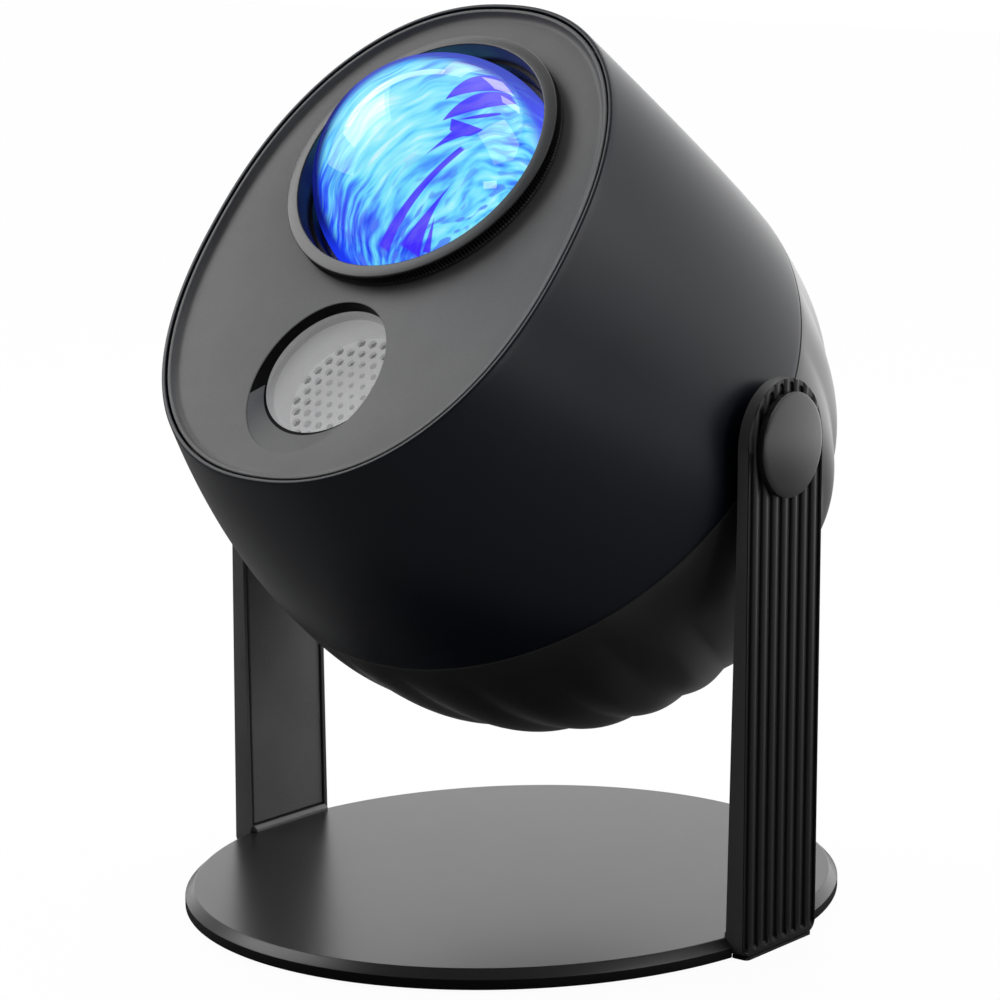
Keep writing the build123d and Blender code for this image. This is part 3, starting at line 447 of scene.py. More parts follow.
def front_shell(material):
    """Skin from the seam to the face, rolled over a thin lip, down to the ledge and back inside."""
    turn = turns(OVAL_STEPS)
    lip, mouth_edge = 0.35, 0.2
    rows = [front_row(l, inset, turn) for l, inset in (*SEAM_EDGE, (0.6, 0.0))]
    rows += [front_row(l, 0.0, turn) for l in np.linspace(1.5, FRONT_L - lip, 44)]
    for a in QUARTER[1:]:
        rows.append(front_row(FRONT_L - lip + lip * sin(a), lip * (1 - cos(a)), turn))
    for a in QUARTER:
        grow, l = mouth_edge * (1 - sin(a)), FRONT_L - mouth_edge * (1 - cos(a))
        rows.append(face_row(l, MOUTH_HALF_U + grow, MOUTH_HALF_V + grow, turn))
    rows.append(face_row(LEDGE_L, MOUTH_HALF_U, MOUTH_HALF_V, turn))
    rows.append(face_row(LEDGE_L, LEDGE_HALF_U, LEDGE_HALF_V, turn))
    rows.append(face_row(LEDGE_L - LEDGE_THICK, LEDGE_HALF_U, LEDGE_HALF_V, turn))
    under_ledge = LEDGE_L - LEDGE_THICK - 0.2
    rows += [front_row(l, SHELL_WALL, turn) for l in np.linspace(under_ledge, SEAM_EDGE[0][0], 14)]
    grid = np.stack(rows)
    faces = grid_faces(len(rows), OVAL_STEPS, close_rows=True, close_columns=True)
    mesh_piece("front_shell_skin", [(grid, faces)], material, "head", "front_shell")


REAR_DEPTH = 83.5
CAP_HOLE_R = 21.0
LOBES = 26
LOBE_DEPTH = 1.15


def rear_shell(material):
    """Ellipsoid of revolution whose skin swells into lobes that fade out at the seam and the cap.

    The skin sinks by depth times (1 - |cos(lobes/2 x turn)|), so crests lie on the ellipsoid and
    valleys are sharp; depth is a sine-shaped share of LOBE_DEPTH between seam and cap."""
    per_lobe = 14
    count = LOBES * per_lobe
    turn = turns(count)
    valley = 1 - np.abs(np.cos(LOBES / 2 * turn)) ** 1.15
    pole = np.arcsin(CAP_HOLE_R / BALL_R)
    rows = [rear_row((BALL_R - inset) * np.ones(count), -l, turn) for l, inset in SEAM_EDGE]
    for f in np.linspace(pi / 2 - 0.008, pole, 56):
        share = np.clip((pi / 2 - f) / (pi / 2 - pole), 0, 1)
        depth = LOBE_DEPTH * sin(pi * share**0.8) ** 1.2
        r = BALL_R * sin(f) - depth * valley * sin(f)
        l = -REAR_DEPTH * cos(f) + depth * valley * cos(f)
        rows.append(rear_row(r, l, turn))
    inner_r, inner_depth = BALL_R - SHELL_WALL, REAR_DEPTH - SHELL_WALL
    for f in np.linspace(np.arcsin(CAP_HOLE_R / inner_r), pi / 2 - 0.001, 16):
        rows.append(rear_row(inner_r * sin(f) * np.ones(count), -inner_depth * cos(f), turn))
    grid = np.stack(rows)
    faces = grid_faces(len(rows), count, close_rows=True, close_columns=True)
    mesh_piece("rear_shell_skin", [(grid, faces)], material, "head", "rear_shell")


def rear_row(r, l, turn):
    """One turn of radii r at l, cut flat beside the arms."""
    u = np.clip(r * np.cos(turn), -FLAT_X, FLAT_X)
    return head(u, BALL_V + r * np.sin(turn), l + 0 * turn)


# ------------------------------------------------------------------ lens face
PANEL_HALF_U, PANEL_HALF_V = 47.7, 62.3
PANEL_UNDER, PANEL_FACE, RIM_TOP = 59.4, 61.6, 63.0
RIM_WIDTH, COVE_WIDTH = 0.8, 2.2
LENS_HOLE_R = 31.5
WINDOW_R, WINDOW_SINK = 15.6, 3.2
BOSS_R, BOSS_BORE, BOSS_BACK = 18.2, 16.7, 56.2
SCOOP_HALF_U, SCOOP_HALF_V, SCOOP_V = 15.9, 19.2, -33.9
PANE_SEAT = PANEL_FACE - WINDOW_SINK
# The flat face's edge is rounded by SOFT_EDGE; at the scoop it falls by no more than SCOOP_DROP.
SOFT_EDGE, SCOOP_DROP = 0.3, 0.18
ROUND_STEPS = 120


def oval(middle_v, half_u, half_v=None):
    """Points (u, v) round an oval at (0, middle_v); one half axis alone makes a circle."""
    turn = turns(ROUND_STEPS)
    return half_u * np.cos(turn), middle_v + (half_v or half_u) * np.sin(turn)


def rim_profile():
    """The panel's edge as (inset, l): upright side, rounded narrow rim, hollow cove.

    The cove falls by a high power of 1 - sin a, steep at the rim and level at the flat face."""
    rim_round, rim_drop = 0.25, 0.06
    edge = [(0.0, PANEL_UNDER), (0.0, RIM_TOP - rim_round)]
    edge += [
        (rim_round * (1 - cos(a)), RIM_TOP - rim_round * (1 - sin(a))) for a in QUARTER[1:]
    ]
    edge += [(RIM_WIDTH - 0.15, RIM_TOP), (RIM_WIDTH, RIM_TOP - rim_drop)]
    drop = RIM_TOP - rim_drop - PANEL_FACE
    edge += [
        (RIM_WIDTH + COVE_WIDTH * sin(a), PANEL_FACE + drop * (1 - sin(a)) ** 4.5)
        for a in np.linspace(0, pi / 2, 12)[1:]
    ]
    return edge


def scoop_part():
    """The scoop, from its soft oval edge down to the window, and the boss round the pane.

    At share s of the slope the row is the oval times 1 - s plus the window's circle times s."""
    rows = []
    for a in QUARTER:
        grow = SOFT_EDGE * (1 - sin(a))
        u, v = oval(SCOOP_V, SCOOP_HALF_U + grow, SCOOP_HALF_V + grow)
        rows.append(head(u, v, PANEL_FACE - SCOOP_DROP * (1 - cos(a))))
    for s in np.linspace(0.1, 1, 8):
        half_u = SCOOP_HALF_U * (1 - s) + WINDOW_R * s
        half_v = SCOOP_HALF_V * (1 - s) + WINDOW_R * s
        u, v = oval(SCOOP_V * (1 - s) + WINDOW_V * s, half_u, half_v)
        rows.append(head(u, v, PANEL_FACE - SCOOP_DROP - (WINDOW_SINK - SCOOP_DROP) * s))
    # the boss is open to the tube behind it
    boss = (
        (BOSS_BORE, PANE_SEAT), (BOSS_BORE, BOSS_BACK), (BOSS_R, BOSS_BACK), (BOSS_R, PANEL_UNDER)
    )
    rows += [head(*oval(WINDOW_V, r), l) for r, l in boss]
    return np.stack(rows), grid_faces(len(rows), ROUND_STEPS, close_columns=True)


def face_panel(material, slanted, shaded, lit):
    """Grey panel: narrow rim, hollow cove, flat face with the lens hole and the slanted scoop."""
    turn = turns(OVAL_STEPS)
    edge = rim_profile()
    rows = [face_row(l, PANEL_HALF_U - inset, PANEL_HALF_V - inset, turn) for inset, l in edge]
    rim = (np.stack(rows), grid_faces(len(rows), OVAL_STEPS, close_columns=True))
    flat_inset = edge[-1][0]
    flat_edge = superellipse(
        turn, PANEL_HALF_U - flat_inset, PANEL_HALF_V - flat_inset, FACE_V, FACE_EXPONENT
    )
    scoop_edge = oval(SCOOP_V, SCOOP_HALF_U + SOFT_EDGE, SCOOP_HALF_V + SOFT_EDGE)
    lens_edge = oval(LENS_V, LENS_HOLE_R + SOFT_EDGE)
    flat = flat_region([flat_edge, lens_edge, scoop_edge], PANEL_FACE)
    under = superellipse(turn, PANEL_HALF_U, PANEL_HALF_V, FACE_V, FACE_EXPONENT)
    back = flat_region([under, oval(LENS_V, LENS_HOLE_R), oval(WINDOW_V, BOSS_R)], PANEL_UNDER)
    wall = [
        (LENS_HOLE_R + SOFT_EDGE * (1 - sin(a)), PANEL_FACE - SOFT_EDGE * (1 - cos(a)))
        for a in QUARTER
    ]
    wall = np.array([*wall, (LENS_HOLE_R, PANEL_UNDER)])
    lens_wall = turned(wall, LENS_V, ROUND_STEPS, closed=False)
    parts = [rim, flat, back, lens_wall, scoop_part()]
    piece = mesh_piece("face_panel_skin", parts, material, "head", "face_panel")
    # The scoop's slope takes a lighter copy of the panel grey: painted light, set for how the light
    # falls on the slope.
    more_material(piece, slanted, in_scoop)
    # The scoop's steep wall and the strip just over the pane are near-black: painted shade.
    more_material(piece, shaded, steep_in_scoop)
    # The boss' bore under the pane takes the glowing tube finish: painted light.
    more_material(piece, lit, under_pane)


def in_scoop(normal, centre):
    """Faces between the panel's face and the pane, within the scoop's oval or the window."""
    away, over = head_measures(centre, WINDOW_V)
    across = centre[:, 0] / (SCOOP_HALF_U + 0.2)
    along = ((centre - HEAD_CENTRE) @ UP - SCOOP_V) / (SCOOP_HALF_V + 0.2)
    within = (np.hypot(across, along) < 1) | (away < WINDOW_R + 0.2)
    return within & (over < PANEL_FACE - 0.02) & (over > PANE_SEAT)


def steep_in_scoop(normal, centre):
    """The scoop's faces that stand up from its slope or lie just over the pane."""
    low = head_measures(centre, WINDOW_V)[1] < PANE_SEAT + 0.45
    return in_scoop(normal, centre) & ((normal @ OUT < 0.45) | low)


def under_pane(normal, centre):
    """The boss' bore, from the pane's seat back."""
    away, over = head_measures(centre, WINDOW_V)
    return (np.abs(away - BOSS_BORE) < 0.1) & (over < PANE_SEAT) & (over > BOSS_BACK)


PLATE_R, PLATE_BACK, PLATE_FRONT = 17.5, 48.4, 49.2
HOLE_PITCH, HOLE_R, HOLE_GROWTH = 3.1, 0.6, 0.12
HOLE_FIELD = 4.7


def lattice_holes():
    """Loops of six-sided holes on a triangular lattice, as far as HOLE_FIELD pitches out.

    A hole's corner radius is HOLE_R plus HOLE_GROWTH for each pitch from the middle."""
    corner = turns(6) + pi / 6
    loops = []
    reach = range(-8, 9)
    for a, b in ((a, b) for a in reach for b in reach):
        u, v = a + b / 2, b * sqrt(3) / 2
        out = sqrt(u * u + v * v)
        if out < HOLE_FIELD:
            r = HOLE_R + HOLE_GROWTH * out
            hole_v = WINDOW_V + v * HOLE_PITCH
            loops.append((u * HOLE_PITCH + r * np.cos(corner), hole_v + r * np.sin(corner)))
    return loops


def star_plate(material, hole_shade_material):
    """Pierced disc: two flat sheets with the holes left out, and a wall round each outline."""
    loops = [oval(WINDOW_V, PLATE_R), *lattice_holes()]
    parts = [flat_region(loops, PLATE_FRONT), flat_region(loops, PLATE_BACK)]
    for u, v in loops:
        wall = np.stack((head(u, v, PLATE_FRONT), head(u, v, PLATE_BACK)))
        parts.append((wall, grid_faces(2, len(u), close_columns=True)))
    piece = mesh_piece("star_plate_pierced", parts, material, "head", "star_plate")
    # The holes' walls get a darker copy of the plate's finish that glows less: painted shade in the
    # holes.
    more_material(piece, hole_shade_material, in_holes)


def in_holes(normal, centre):
    """The upright faces inside the plate's rim."""
    away = head_measures(centre, WINDOW_V)[0]
    return (np.abs(normal @ OUT) < 0.5) & (away < PLATE_R - 0.3)


def flat_region(loops, level):
    """Flat sheet at that level inside the first loop and outside the others, as triangles."""
    points, edges = [], []
    for u, v in loops:
        start = len(points)
        points += [Vector((a, b)) for a, b in zip(u.tolist(), v.tolist())]
        size = len(u)
        edges += [(start + i, start + (i + 1) % size) for i in range(size)]
    made = delaunay_2d_cdt(points, edges, [], 0, 1e-6)
    flat = np.array([tuple(p) for p in made[0]])
    faces = [tuple(face) for face in made[2]]
    middles = np.array([flat[list(face)].mean(axis=0) for face in faces])
    keep = inside(middles, loops[0])
    for loop in loops[1:]:
        keep &= ~inside(middles, loop)
    chosen = [face for face, kept in zip(faces, keep) if kept]
    return head(flat[:, 0], flat[:, 1], np.full(len(flat), level)), chosen


def inside(points, loop):
    """Even-odd test of each point against a closed loop."""
    u, v = loop
    u2, v2 = np.roll(u, -1), np.roll(v, -1)
    x, y = points[:, 0][:, None], points[:, 1][:, None]
    spans = (v > y) != (v2 > y)
    with np.errstate(divide="ignore", invalid="ignore"):
        cross_at = (u2 - u) * (y - v) / (v2 - v) + u
    return (spans & (x < cross_at)).sum(axis=1) % 2 == 1


# ------------------------------------------------------------------ lens parts
RING_R, RING_BORE, RING_FRONT, RING_BACK = 32.8, 29.9, 65.6, 61.9
SKIRT_R, SKIRT_BACK = 31.1, 54.0
RING_SLOPE = 0.4
RING_EDGE = RING_FRONT - RING_SLOPE
SKIRT_STEP, SKIRT_EDGE_R = 1.4, RING_R - 0.3
KNURLS, KNURL_DEPTH = 258, 0.45
KNURL_MARGIN_FRONT, KNURL_MARGIN_BACK = 0.5, 0.45
DOME_R, DOME_CENTRE, DOME_SEAT, DOME_WALL = 27.9, 55.3, 51.0, 2.6


def ring_path():
    """The ring's section as (radius, l), with extra rows on its side so that the knurls end softly."""
    path = profile(
        (RING_BORE, SKIRT_BACK), (RING_BORE, RING_FRONT, 0.3), (RING_R, RING_EDGE, 0.3),
        (RING_R, RING_BACK, 0.2), (SKIRT_R, RING_BACK), (SKIRT_R, SKIRT_BACK + SKIRT_STEP),
        (SKIRT_EDGE_R, SKIRT_BACK + SKIRT_STEP), (SKIRT_EDGE_R, SKIRT_BACK),
    )
    side_rows = (RING_EDGE - 0.4, RING_EDGE - 0.65, RING_BACK + 0.6, RING_BACK + 0.35)
    side = [(RING_R, l) for l in side_rows]
    first = next(i for i, p in enumerate(path) if p[0] > RING_R - 0.02 and p[1] < RING_EDGE - 0.2)
    return np.array([*map(tuple, path[: first + 1]), *side, *map(tuple, path[first + 1 :])])


def knurled(l):
    """Whether l lies between the two plain edges of the ring's side."""
    return (l < RING_EDGE - KNURL_MARGIN_FRONT) & (l > RING_BACK + KNURL_MARGIN_BACK)


def focus_ring(face_material, side_material, valley_shade_material, bore_material):
    """Flat-faced ring; its side sinks by half of 1 - cos(KNURLS x turn) between two plain edges."""
    per_knurl = 4
    count = KNURLS * per_knurl
    turn = turns(count)
    tooth = 0.5 - 0.5 * np.cos(KNURLS * turn)
    path = ring_path()
    r, l = path[:, 0][:, None], path[:, 1][:, None]
    on_side = ((r > RING_R - 0.01) & knurled(l)).astype(float)
    r = r - KNURL_DEPTH * tooth * on_side
    points = head(r * np.cos(turn), LENS_V + r * np.sin(turn), l)
    faces = grid_faces(len(path), count, close_rows=True, close_columns=True)
    piece = mesh_piece(
        "focus_ring_knurled", [(points, faces)], face_material, "focus", "focus_ring",
        smooth_angle=50,
    )
    more_material(piece, side_material, beside_ring_face)
    # The knurls' deeper half is near-black: painted shade in the grooves.
    more_material(piece, valley_shade_material, in_knurls)
    more_material(piece, bore_material, in_ring_bore)


def beside_ring_face(normal, centre):
    """Faces that don't look out along the beam, or lie behind the ring's face."""
    over = head_measures(centre, LENS_V)[1]
    return (normal @ OUT < 0.6) | (over < RING_EDGE - 0.15)


def in_knurls(normal, centre):
    """The deeper half of the knurls."""
    away, over = head_measures(centre, LENS_V)
    deep = (away > RING_R - KNURL_DEPTH - 0.1) & (away < RING_R - KNURL_DEPTH / 2)
    return knurled(over) & deep


def in_ring_bore(normal, centre):
    """The ring's inner wall."""
    away = head_measures(centre, LENS_V)[0]
    return (away < RING_BORE + 0.05) & (normal @ OUT < 0.6)


def dome(material):
    """Hollow glass cap: a sphere on an upright wall, from its seat to the pole and back inside."""
    inner_r = DOME_R - DOME_WALL
    path = [(DOME_R, DOME_SEAT)]
    for r, angles in ((DOME_R, np.linspace(0, pi / 2, 90)), (inner_r, np.linspace(pi / 2, 0, 24))):
        path += [(r * cos(a), DOME_CENTRE + r * sin(a)) for a in angles]
    path.append((inner_r, DOME_SEAT))
    glass = turned(np.array(path), LENS_V, 180)
    mesh_piece("dome_glass", [glass], material, "lens", "dome_lens")


# ------------------------------------------------------------------ stand
BASE_HALF_X, BASE_HALF_Y = 71.5, 80.0
FOOT, BASE_SIDE_TOP, BASE_TOP = 0.6, 2.9, 4.8
BEVEL_WIDTH, NOTCH_GAP = 2.0, 0.15
ARM_HALF, ARM_OUT, ARM_IN_TOP, ARM_IN_FOOT = 14.2, 73.2, 70.2, 68.4
ARM_CORNER, ARM_ROLL, RIB_FALL = 3.0, 0.4, 0.34
GROOVES, GROOVE_PITCH, GROOVE_HALF, GROOVE_DEPTH = 8, 3.72, 0.8, 0.8
GROOVE_MIDDLES = (np.arange(GROOVES) - (GROOVES - 1) / 2) * GROOVE_PITCH
# Rim left round the slots and below them, and half the width of their soft edge.
GROOVE_BORDER, GROOVE_FOOT, GROOVE_SOFT = 0.75, 1.4, 0.12
COVER_FRONT, COVER_REAR, COVER_LOW, COVER_HIGH = -12.0, 13.1, 6.4, PIVOT_Z - ARM_HALF - 1.0
COVER_SUNK, COVER_THICK, COVER_ROLL = 0.5, 1.1, 0.3
POCKET_HALF, POCKET_LOW, POCKET_HIGH, POCKET_DEPTH = 13.2, COVER_LOW - 0.3, COVER_HIGH + 0.3, 1.6


def base_plate(material, side_material):
    """Oval plate: upright side, soft shoulder, bevel and flat top, notched where the arms stand.

    Each ring is the oval with both half axes drawn in by the profile's inset; within the arms'
    width it is cut off at the notch."""
    inner_inset = 30
    path = profile(
        (inner_inset, FOOT), (0.0, FOOT, 0.35), (0.0, BASE_SIDE_TOP, 0.35),
        (BEVEL_WIDTH, BASE_TOP, 0.45), (BEVEL_WIDTH + 0.35, BASE_TOP),
        (BEVEL_WIDTH + 0.45, BASE_TOP), (inner_inset, BASE_TOP),
    )
    notch_x, notch_y = ARM_IN_FOOT - NOTCH_GAP, ARM_HALF + NOTCH_GAP
    turn = oval_turns(notch_y / BASE_HALF_Y)
    rows = [oval_row(turn, inset, z, notch_x, notch_y) for inset, z in path]
    middles = [np.zeros((len(turn), 3)) + (0, 0, z) for z in (FOOT, BASE_TOP)]
    rows = [middles[0], *rows, middles[1]]
    plate = (np.stack(rows), grid_faces(len(rows), len(turn), close_columns=True))
    piece = mesh_piece("base_plate_skin", [plate], material, "stand", "base_plate")
    more_material(piece, side_material, lambda normal, centre: centre[:, 2] < BASE_SIDE_TOP)


def oval_turns(notch_share):
    """Turns round the oval, with two close turns at each corner of the notches."""
    corner = np.arcsin(notch_share)
    corners = np.array([corner - 0.0004, corner + 0.0004])
    notches = np.concatenate((corners, pi - corners, pi + corners, 2 * pi - corners))
    return np.sort(np.concatenate((turns(280), notches)))


def oval_row(turn, inset, z, notch_x, notch_y):
    """One ring of the base at z, cut off at the notches."""
    x = (BASE_HALF_X - inset) * np.cos(turn)
    y = (BASE_HALF_Y - inset) * np.sin(turn)
    in_notch = np.abs(BASE_HALF_Y * np.sin(turn)) < notch_y
    x = np.where(in_notch, np.clip(x, -notch_x, notch_x), x)
    return np.stack((x, y, np.full_like(x, z)), -1)


def arm_inner(z):
    """Distance of the arm's inner face from the middle; it leans outwards up to the round top."""
    share = np.minimum(z / (PIVOT_Z - ARM_HALF), 1)
    return ARM_IN_FOOT + (ARM_IN_TOP - ARM_IN_FOOT) * share


def arm_outline(y):
    """Lowest and highest z of the arm at y: rounded bottom corners, half circle on top."""
    over = np.clip(np.abs(y) - (ARM_HALF - ARM_CORNER), 0, ARM_CORNER)
    low = FOOT + ARM_CORNER - np.sqrt(ARM_CORNER**2 - over**2)
    high = PIVOT_Z + np.sqrt(np.maximum(ARM_HALF**2 - y**2, 0))
    return low, high


def arm_grid():
    """The arm's outline as a grid of y and z.

    Columns stand close at each slot's edge and at the arm's own. Rows follow the foot's rounded
    corners and the half circle on top, and stand close at the foot and at the pocket's ends."""
    half_offsets = np.array((0.55, 0.7, 0.8, 0.92, 1.1, 1.35, 1.6))
    offsets = np.concatenate(((-GROOVE_PITCH / 2,), -half_offsets[::-1], (0.0,), half_offsets))
    edge_steps = np.array((0, 0.03, 0.12, 0.25, 0.4, 0.55))
    border = np.array((*(ARM_HALF - edge_steps), POCKET_HALF + 0.04, POCKET_HALF - 0.04))
    y = np.concatenate((-border, (GROOVE_MIDDLES[:, None] + offsets).ravel()[1:], border))
    y = np.unique(np.round(y[np.abs(y) <= ARM_HALF], 3))
    low, high = arm_outline(y)
    edge_rows = low[:, None] + np.array((0, 0.04, 0.12, 0.25, 0.4, 0.6))[None, :]
    foot_top, shaft_top = 5.8, PIVOT_Z - 4
    rise = np.linspace(0, 1, 14)[None, :]
    rising = (low[:, None] + 0.9) * (1 - rise) + foot_top * rise
    pocket_rows = [z + gap for z in (POCKET_LOW, POCKET_HIGH) for gap in (-0.04, 0.04)]
    shaft_rows = np.array(sorted((*pocket_rows, 12, 30, 60, 85, 102)))[None, :] + 0 * y[:, None]
    share = np.sin(np.linspace(0, 1, 50)[None, :] * pi / 2)
    top_rows = shaft_top * (1 - share) + high[:, None] * share
    z = np.concatenate((edge_rows, rising, shaft_rows, top_rows), axis=1)
    return y[:, None] + 0 * z, z


def rib_sink(y, z):
    """The slot depth inside each slot's outline, over a short soft edge, and beside the slots the
    square of the way from each rib's crest."""
    reach = ARM_HALF - GROOVE_BORDER
    sink = np.zeros_like(z)
    for middle in GROOVE_MIDDLES:
        edge = abs(middle) + GROOVE_HALF
        top = PIVOT_Z + sqrt(max(reach**2 - edge**2, 0)) - GROOVE_HALF
        bottom = FOOT + GROOVE_FOOT + GROOVE_HALF
        away = np.hypot(y - middle, z - np.clip(z, bottom, top)) - GROOVE_HALF
        within = np.clip((GROOVE_SOFT - away) / (2 * GROOVE_SOFT), 0, 1)
        sink = np.maximum(sink, GROOVE_DEPTH * smooth(within))
    from_crest = np.abs(y - np.round(y / GROOVE_PITCH) * GROOVE_PITCH)
    fall = RIB_FALL * np.clip((z - FOOT - 1.6) / 1.5, 0, 1)
    return np.maximum(sink, fall * np.minimum(from_crest / (GROOVE_PITCH / 2 - GROOVE_HALF), 1) ** 2)


def rolled_outline(y, z):
    """Quarter circle by the distance from the arm's own outline."""
    beside = ARM_HALF - np.abs(y)
    above = ARM_HALF - np.hypot(y, np.maximum(z - PIVOT_Z, 0))
    past_corner = np.abs(y) - ARM_HALF + ARM_CORNER
    in_corner = ARM_CORNER - np.hypot(past_corner, np.minimum(z - FOOT - ARM_CORNER, 0))
    below = np.where(past_corner > 0, in_corner, z - FOOT)
    near = np.clip(np.minimum(np.minimum(beside, above), below), 0, ARM_ROLL)
    return quarter_round(near, ARM_ROLL)


def ribbed_arm(name, node, side, material, rib_material):
    """Upright with eight slots down its outer face and a pocket for the cover in its inner face.

    The outer face sinks by the ribs' or the rolled outline's depth, whichever is larger."""
    y, z = arm_grid()
    sink = np.maximum(rib_sink(y, z), rolled_outline(y, z))
    outer = np.stack((side * (ARM_OUT - sink), y, z), -1)
    in_pocket = (np.abs(y) < POCKET_HALF) & (z > POCKET_LOW) & (z < POCKET_HIGH)
    inner = np.stack((side * (arm_inner(z) + POCKET_DEPTH * in_pocket), y, z), -1)
    parts = skin_pair(outer, inner)
    piece = mesh_piece(name, parts, material, "stand", node, smooth_angle=28)
    more_material(piece, rib_material, lambda normal, centre: side * centre[:, 0] > ARM_OUT - 1.0)


def pivot_cap(name, node, side, material):
    """Shallow round cap: a turned profile with a rolled rim, its face falling by the square of r."""
    radius, face, crown = 11.4, 75.9, 1.1
    hollow_r, hollow_top = 5.1, ARM_OUT + 1.4
    hollow = [(0.0, hollow_top), (hollow_r, hollow_top), (hollow_r, ARM_OUT)]
    face_path = [(r, face - crown * (r / radius) ** 2) for r in np.linspace(radius - 0.5, 0.0, 14)]
    rim_top = (radius, face - crown - 0.1, 0.25)
    rim = profile((hollow_r, ARM_OUT), (radius, ARM_OUT, 0.15), rim_top, face_path[0])
    path = np.array([*hollow, *map(tuple, rim[1:]), *face_path[1:]])
    mesh_piece(name, [turned_x(path, side)], material, "stand", node)


def arm_cover(name, node, side, material):
    """Flat inner cover that leans with the arm, edges rolled over by a quarter circle.

    It lies against the pocket's rear wall, so that the gap shows along its front edge."""
    start = COVER_ROLL * (1 - np.cos(QUARTER))
    across = np.concatenate((COVER_FRONT + start, COVER_REAR - start[::-1]))
    up = np.concatenate((COVER_LOW + start, COVER_HIGH - start[::-1]))
    z, y = np.meshgrid(up, across, indexing="ij")
    beside = np.minimum(y - COVER_FRONT, COVER_REAR - y)
    near = np.clip(np.minimum(beside, np.minimum(z - COVER_LOW, COVER_HIGH - z)), 0, COVER_ROLL)
    face = arm_inner(z) + COVER_SUNK
    outer = np.stack((side * (face + quarter_round(near, COVER_ROLL)), y, z), -1)
    inner = np.stack((side * (face + COVER_THICK), y, z), -1)
    parts = skin_pair(outer, inner)
    mesh_piece(name, parts, material, "stand", node, smooth_angle=50)


# ------------------------------------------------------------------ finishes
def shell_finish(name, colour, roughness):
    """Soft-touch moulding: even dark colour, very fine grain, a clear satin gloss."""
    finish = Finish(name, colour, roughness, specular=0.45)
    grain = finish.noise(finish.place, 9000.0, detail=1.0)
    broad = finish.noise(finish.place, 60.0)
    spread_colour(finish, broad.step(0.3, 0.7), colour, 0.1)
    finish.set("Roughness", broad * 0.04 + (roughness - 0.02))
    finish.bump(grain, 0.12, GRAIN_DEPTH)
    return finish.material


def plain_finish(name, colour, roughness, grain=3000.0, spread=0.12, specular=0.5):
    """Satin or matt moulding or coating with an even grain."""
    finish = Finish(name, colour, roughness, specular=specular)
    return grained(finish, colour, spread, grain, 0.35, roughness)


# The dome's picture is laid out in millimetres round the dome's point that looks along PICTURE_OUT,
# in head axes.
PICTURE_OUT = (0.6022, -0.3841, 0.7003)
PICTURE_RIGHT = (0.7905, 0.4100, -0.4549)
PICTURE_UP = (-0.1123, 0.8273, 0.5504)
# Leaves of violet light: tip, end, and the offset, slope and bow of the low and the high edge.
LEAVES = (
    ((1.2, 16.1), (18.0, 22.0), (0, -1.6, 1.0), (0, 3.6, 3.2)),
    ((0.6, 10.8), (18.0, 18.5), (0, -1.4, 0.25), (0, 1.8, 2.7)),
    ((-4.5, 2.0), (5.6, 7.9), (0, -0.4, 0.6), (0, 2.6, -0.15)),
    ((9.6, 9.2), (2.5, 10.3), (0, -1.2, 0.0), (0, 1.6, 1.6)),
    ((5.0, 5.0), (-13.0, -17.5), (-0.5, -1.0, -1.3), (0.7, 0.6, -1.75)),
    ((6.5, 1.0), (-7.0, -17.5), (0, -2.3, -0.5), (0, 3.0, -2.1)),
    ((-1.0, -9.6), (-3.0, -18.0), (0, -0.9, 0), (0, 0.9, 0)),
    ((4.2, 11.2), (14.0, 13.3), (0, 0, -0.35), (0, 0.5, 0.35)),
)


def leaf(x, y, tip, end, low, high):
    """Mask of a leaf from tip to end, s running 0 to 1; its low and high edges (a, b, c) lie
    a + b s + 4 c s (1 - s) millimetres to the left of that line."""
    length = sqrt((end[0] - tip[0]) ** 2 + (end[1] - tip[1]) ** 2)
    along = ((end[0] - tip[0]) / length, (end[1] - tip[1]) / length)
    from_x, from_y = x - tip[0], y - tip[1]
    s = (from_x * along[0] + from_y * along[1]) * (1 / length)
    left = from_y * along[0] - from_x * along[1]
    bow = s * (1.0 - s) * 4.0
    lower = left - (s * low[1] + bow * low[2] + low[0])
    upper = s * high[1] + bow * high[2] + high[0] - left
    return lower.step(-0.1, 0.15) * upper.step(-0.1, 0.15) * s.step(-0.01, 0.02) * s.step(1.03, 0.99)


# Middles in the picture: the streaks run round one below and to the right of it, the glare is a
# soft disc round the next, and the blue rim lies outside a circle round the last. The glare is partly
# the picture's white core and partly a painted reflection of the lamps.
STREAK_RIGHT, STREAK_UP = 22.0, -30.0
GLARE_RIGHT, GLARE_UP = -14.0, 11.0
RIM_RIGHT, RIM_UP = -5.0, 2.0
# From the darkest streaks to the brightest.
SKY_STOPS = (
    (0.12, (0.012, 0.05, 0.88)), (0.30, (0.05, 0.19, 1.0)), (0.44, (0.10, 0.48, 1.0)),
    (0.56, (0.17, 0.74, 0.99)), (0.75, (0.33, 0.90, 1.0)), (0.95, (0.80, 1.0, 1.0)),
)


def distance(x, y, from_x=0.0, from_y=0.0):
    """Distance of (x, y) from a fixed point."""
    x, y = x - from_x, y - from_y
    return (x * x + y * y) ** 0.5


def picture_place(finish):
    """The picture's x and y in millimetres over the dome's surface, so that nothing smears at its
    edge: the way sideways, times DOME_R x the angle from PICTURE_OUT / the way sideways."""
    place = finish.head_place()
    centre = np.array((0.0, LENS_V, DOME_CENTRE))
    ways = (PICTURE_RIGHT, PICTURE_UP, PICTURE_OUT)
    x, y, z = [finish.along(place, way) - float(centre @ way) for way in ways]
    aside = (x * x + y * y + 0.0001) ** 0.5
    spread = aside.math("ARCTAN2", z) * DOME_R / aside
    return x * spread, y * spread


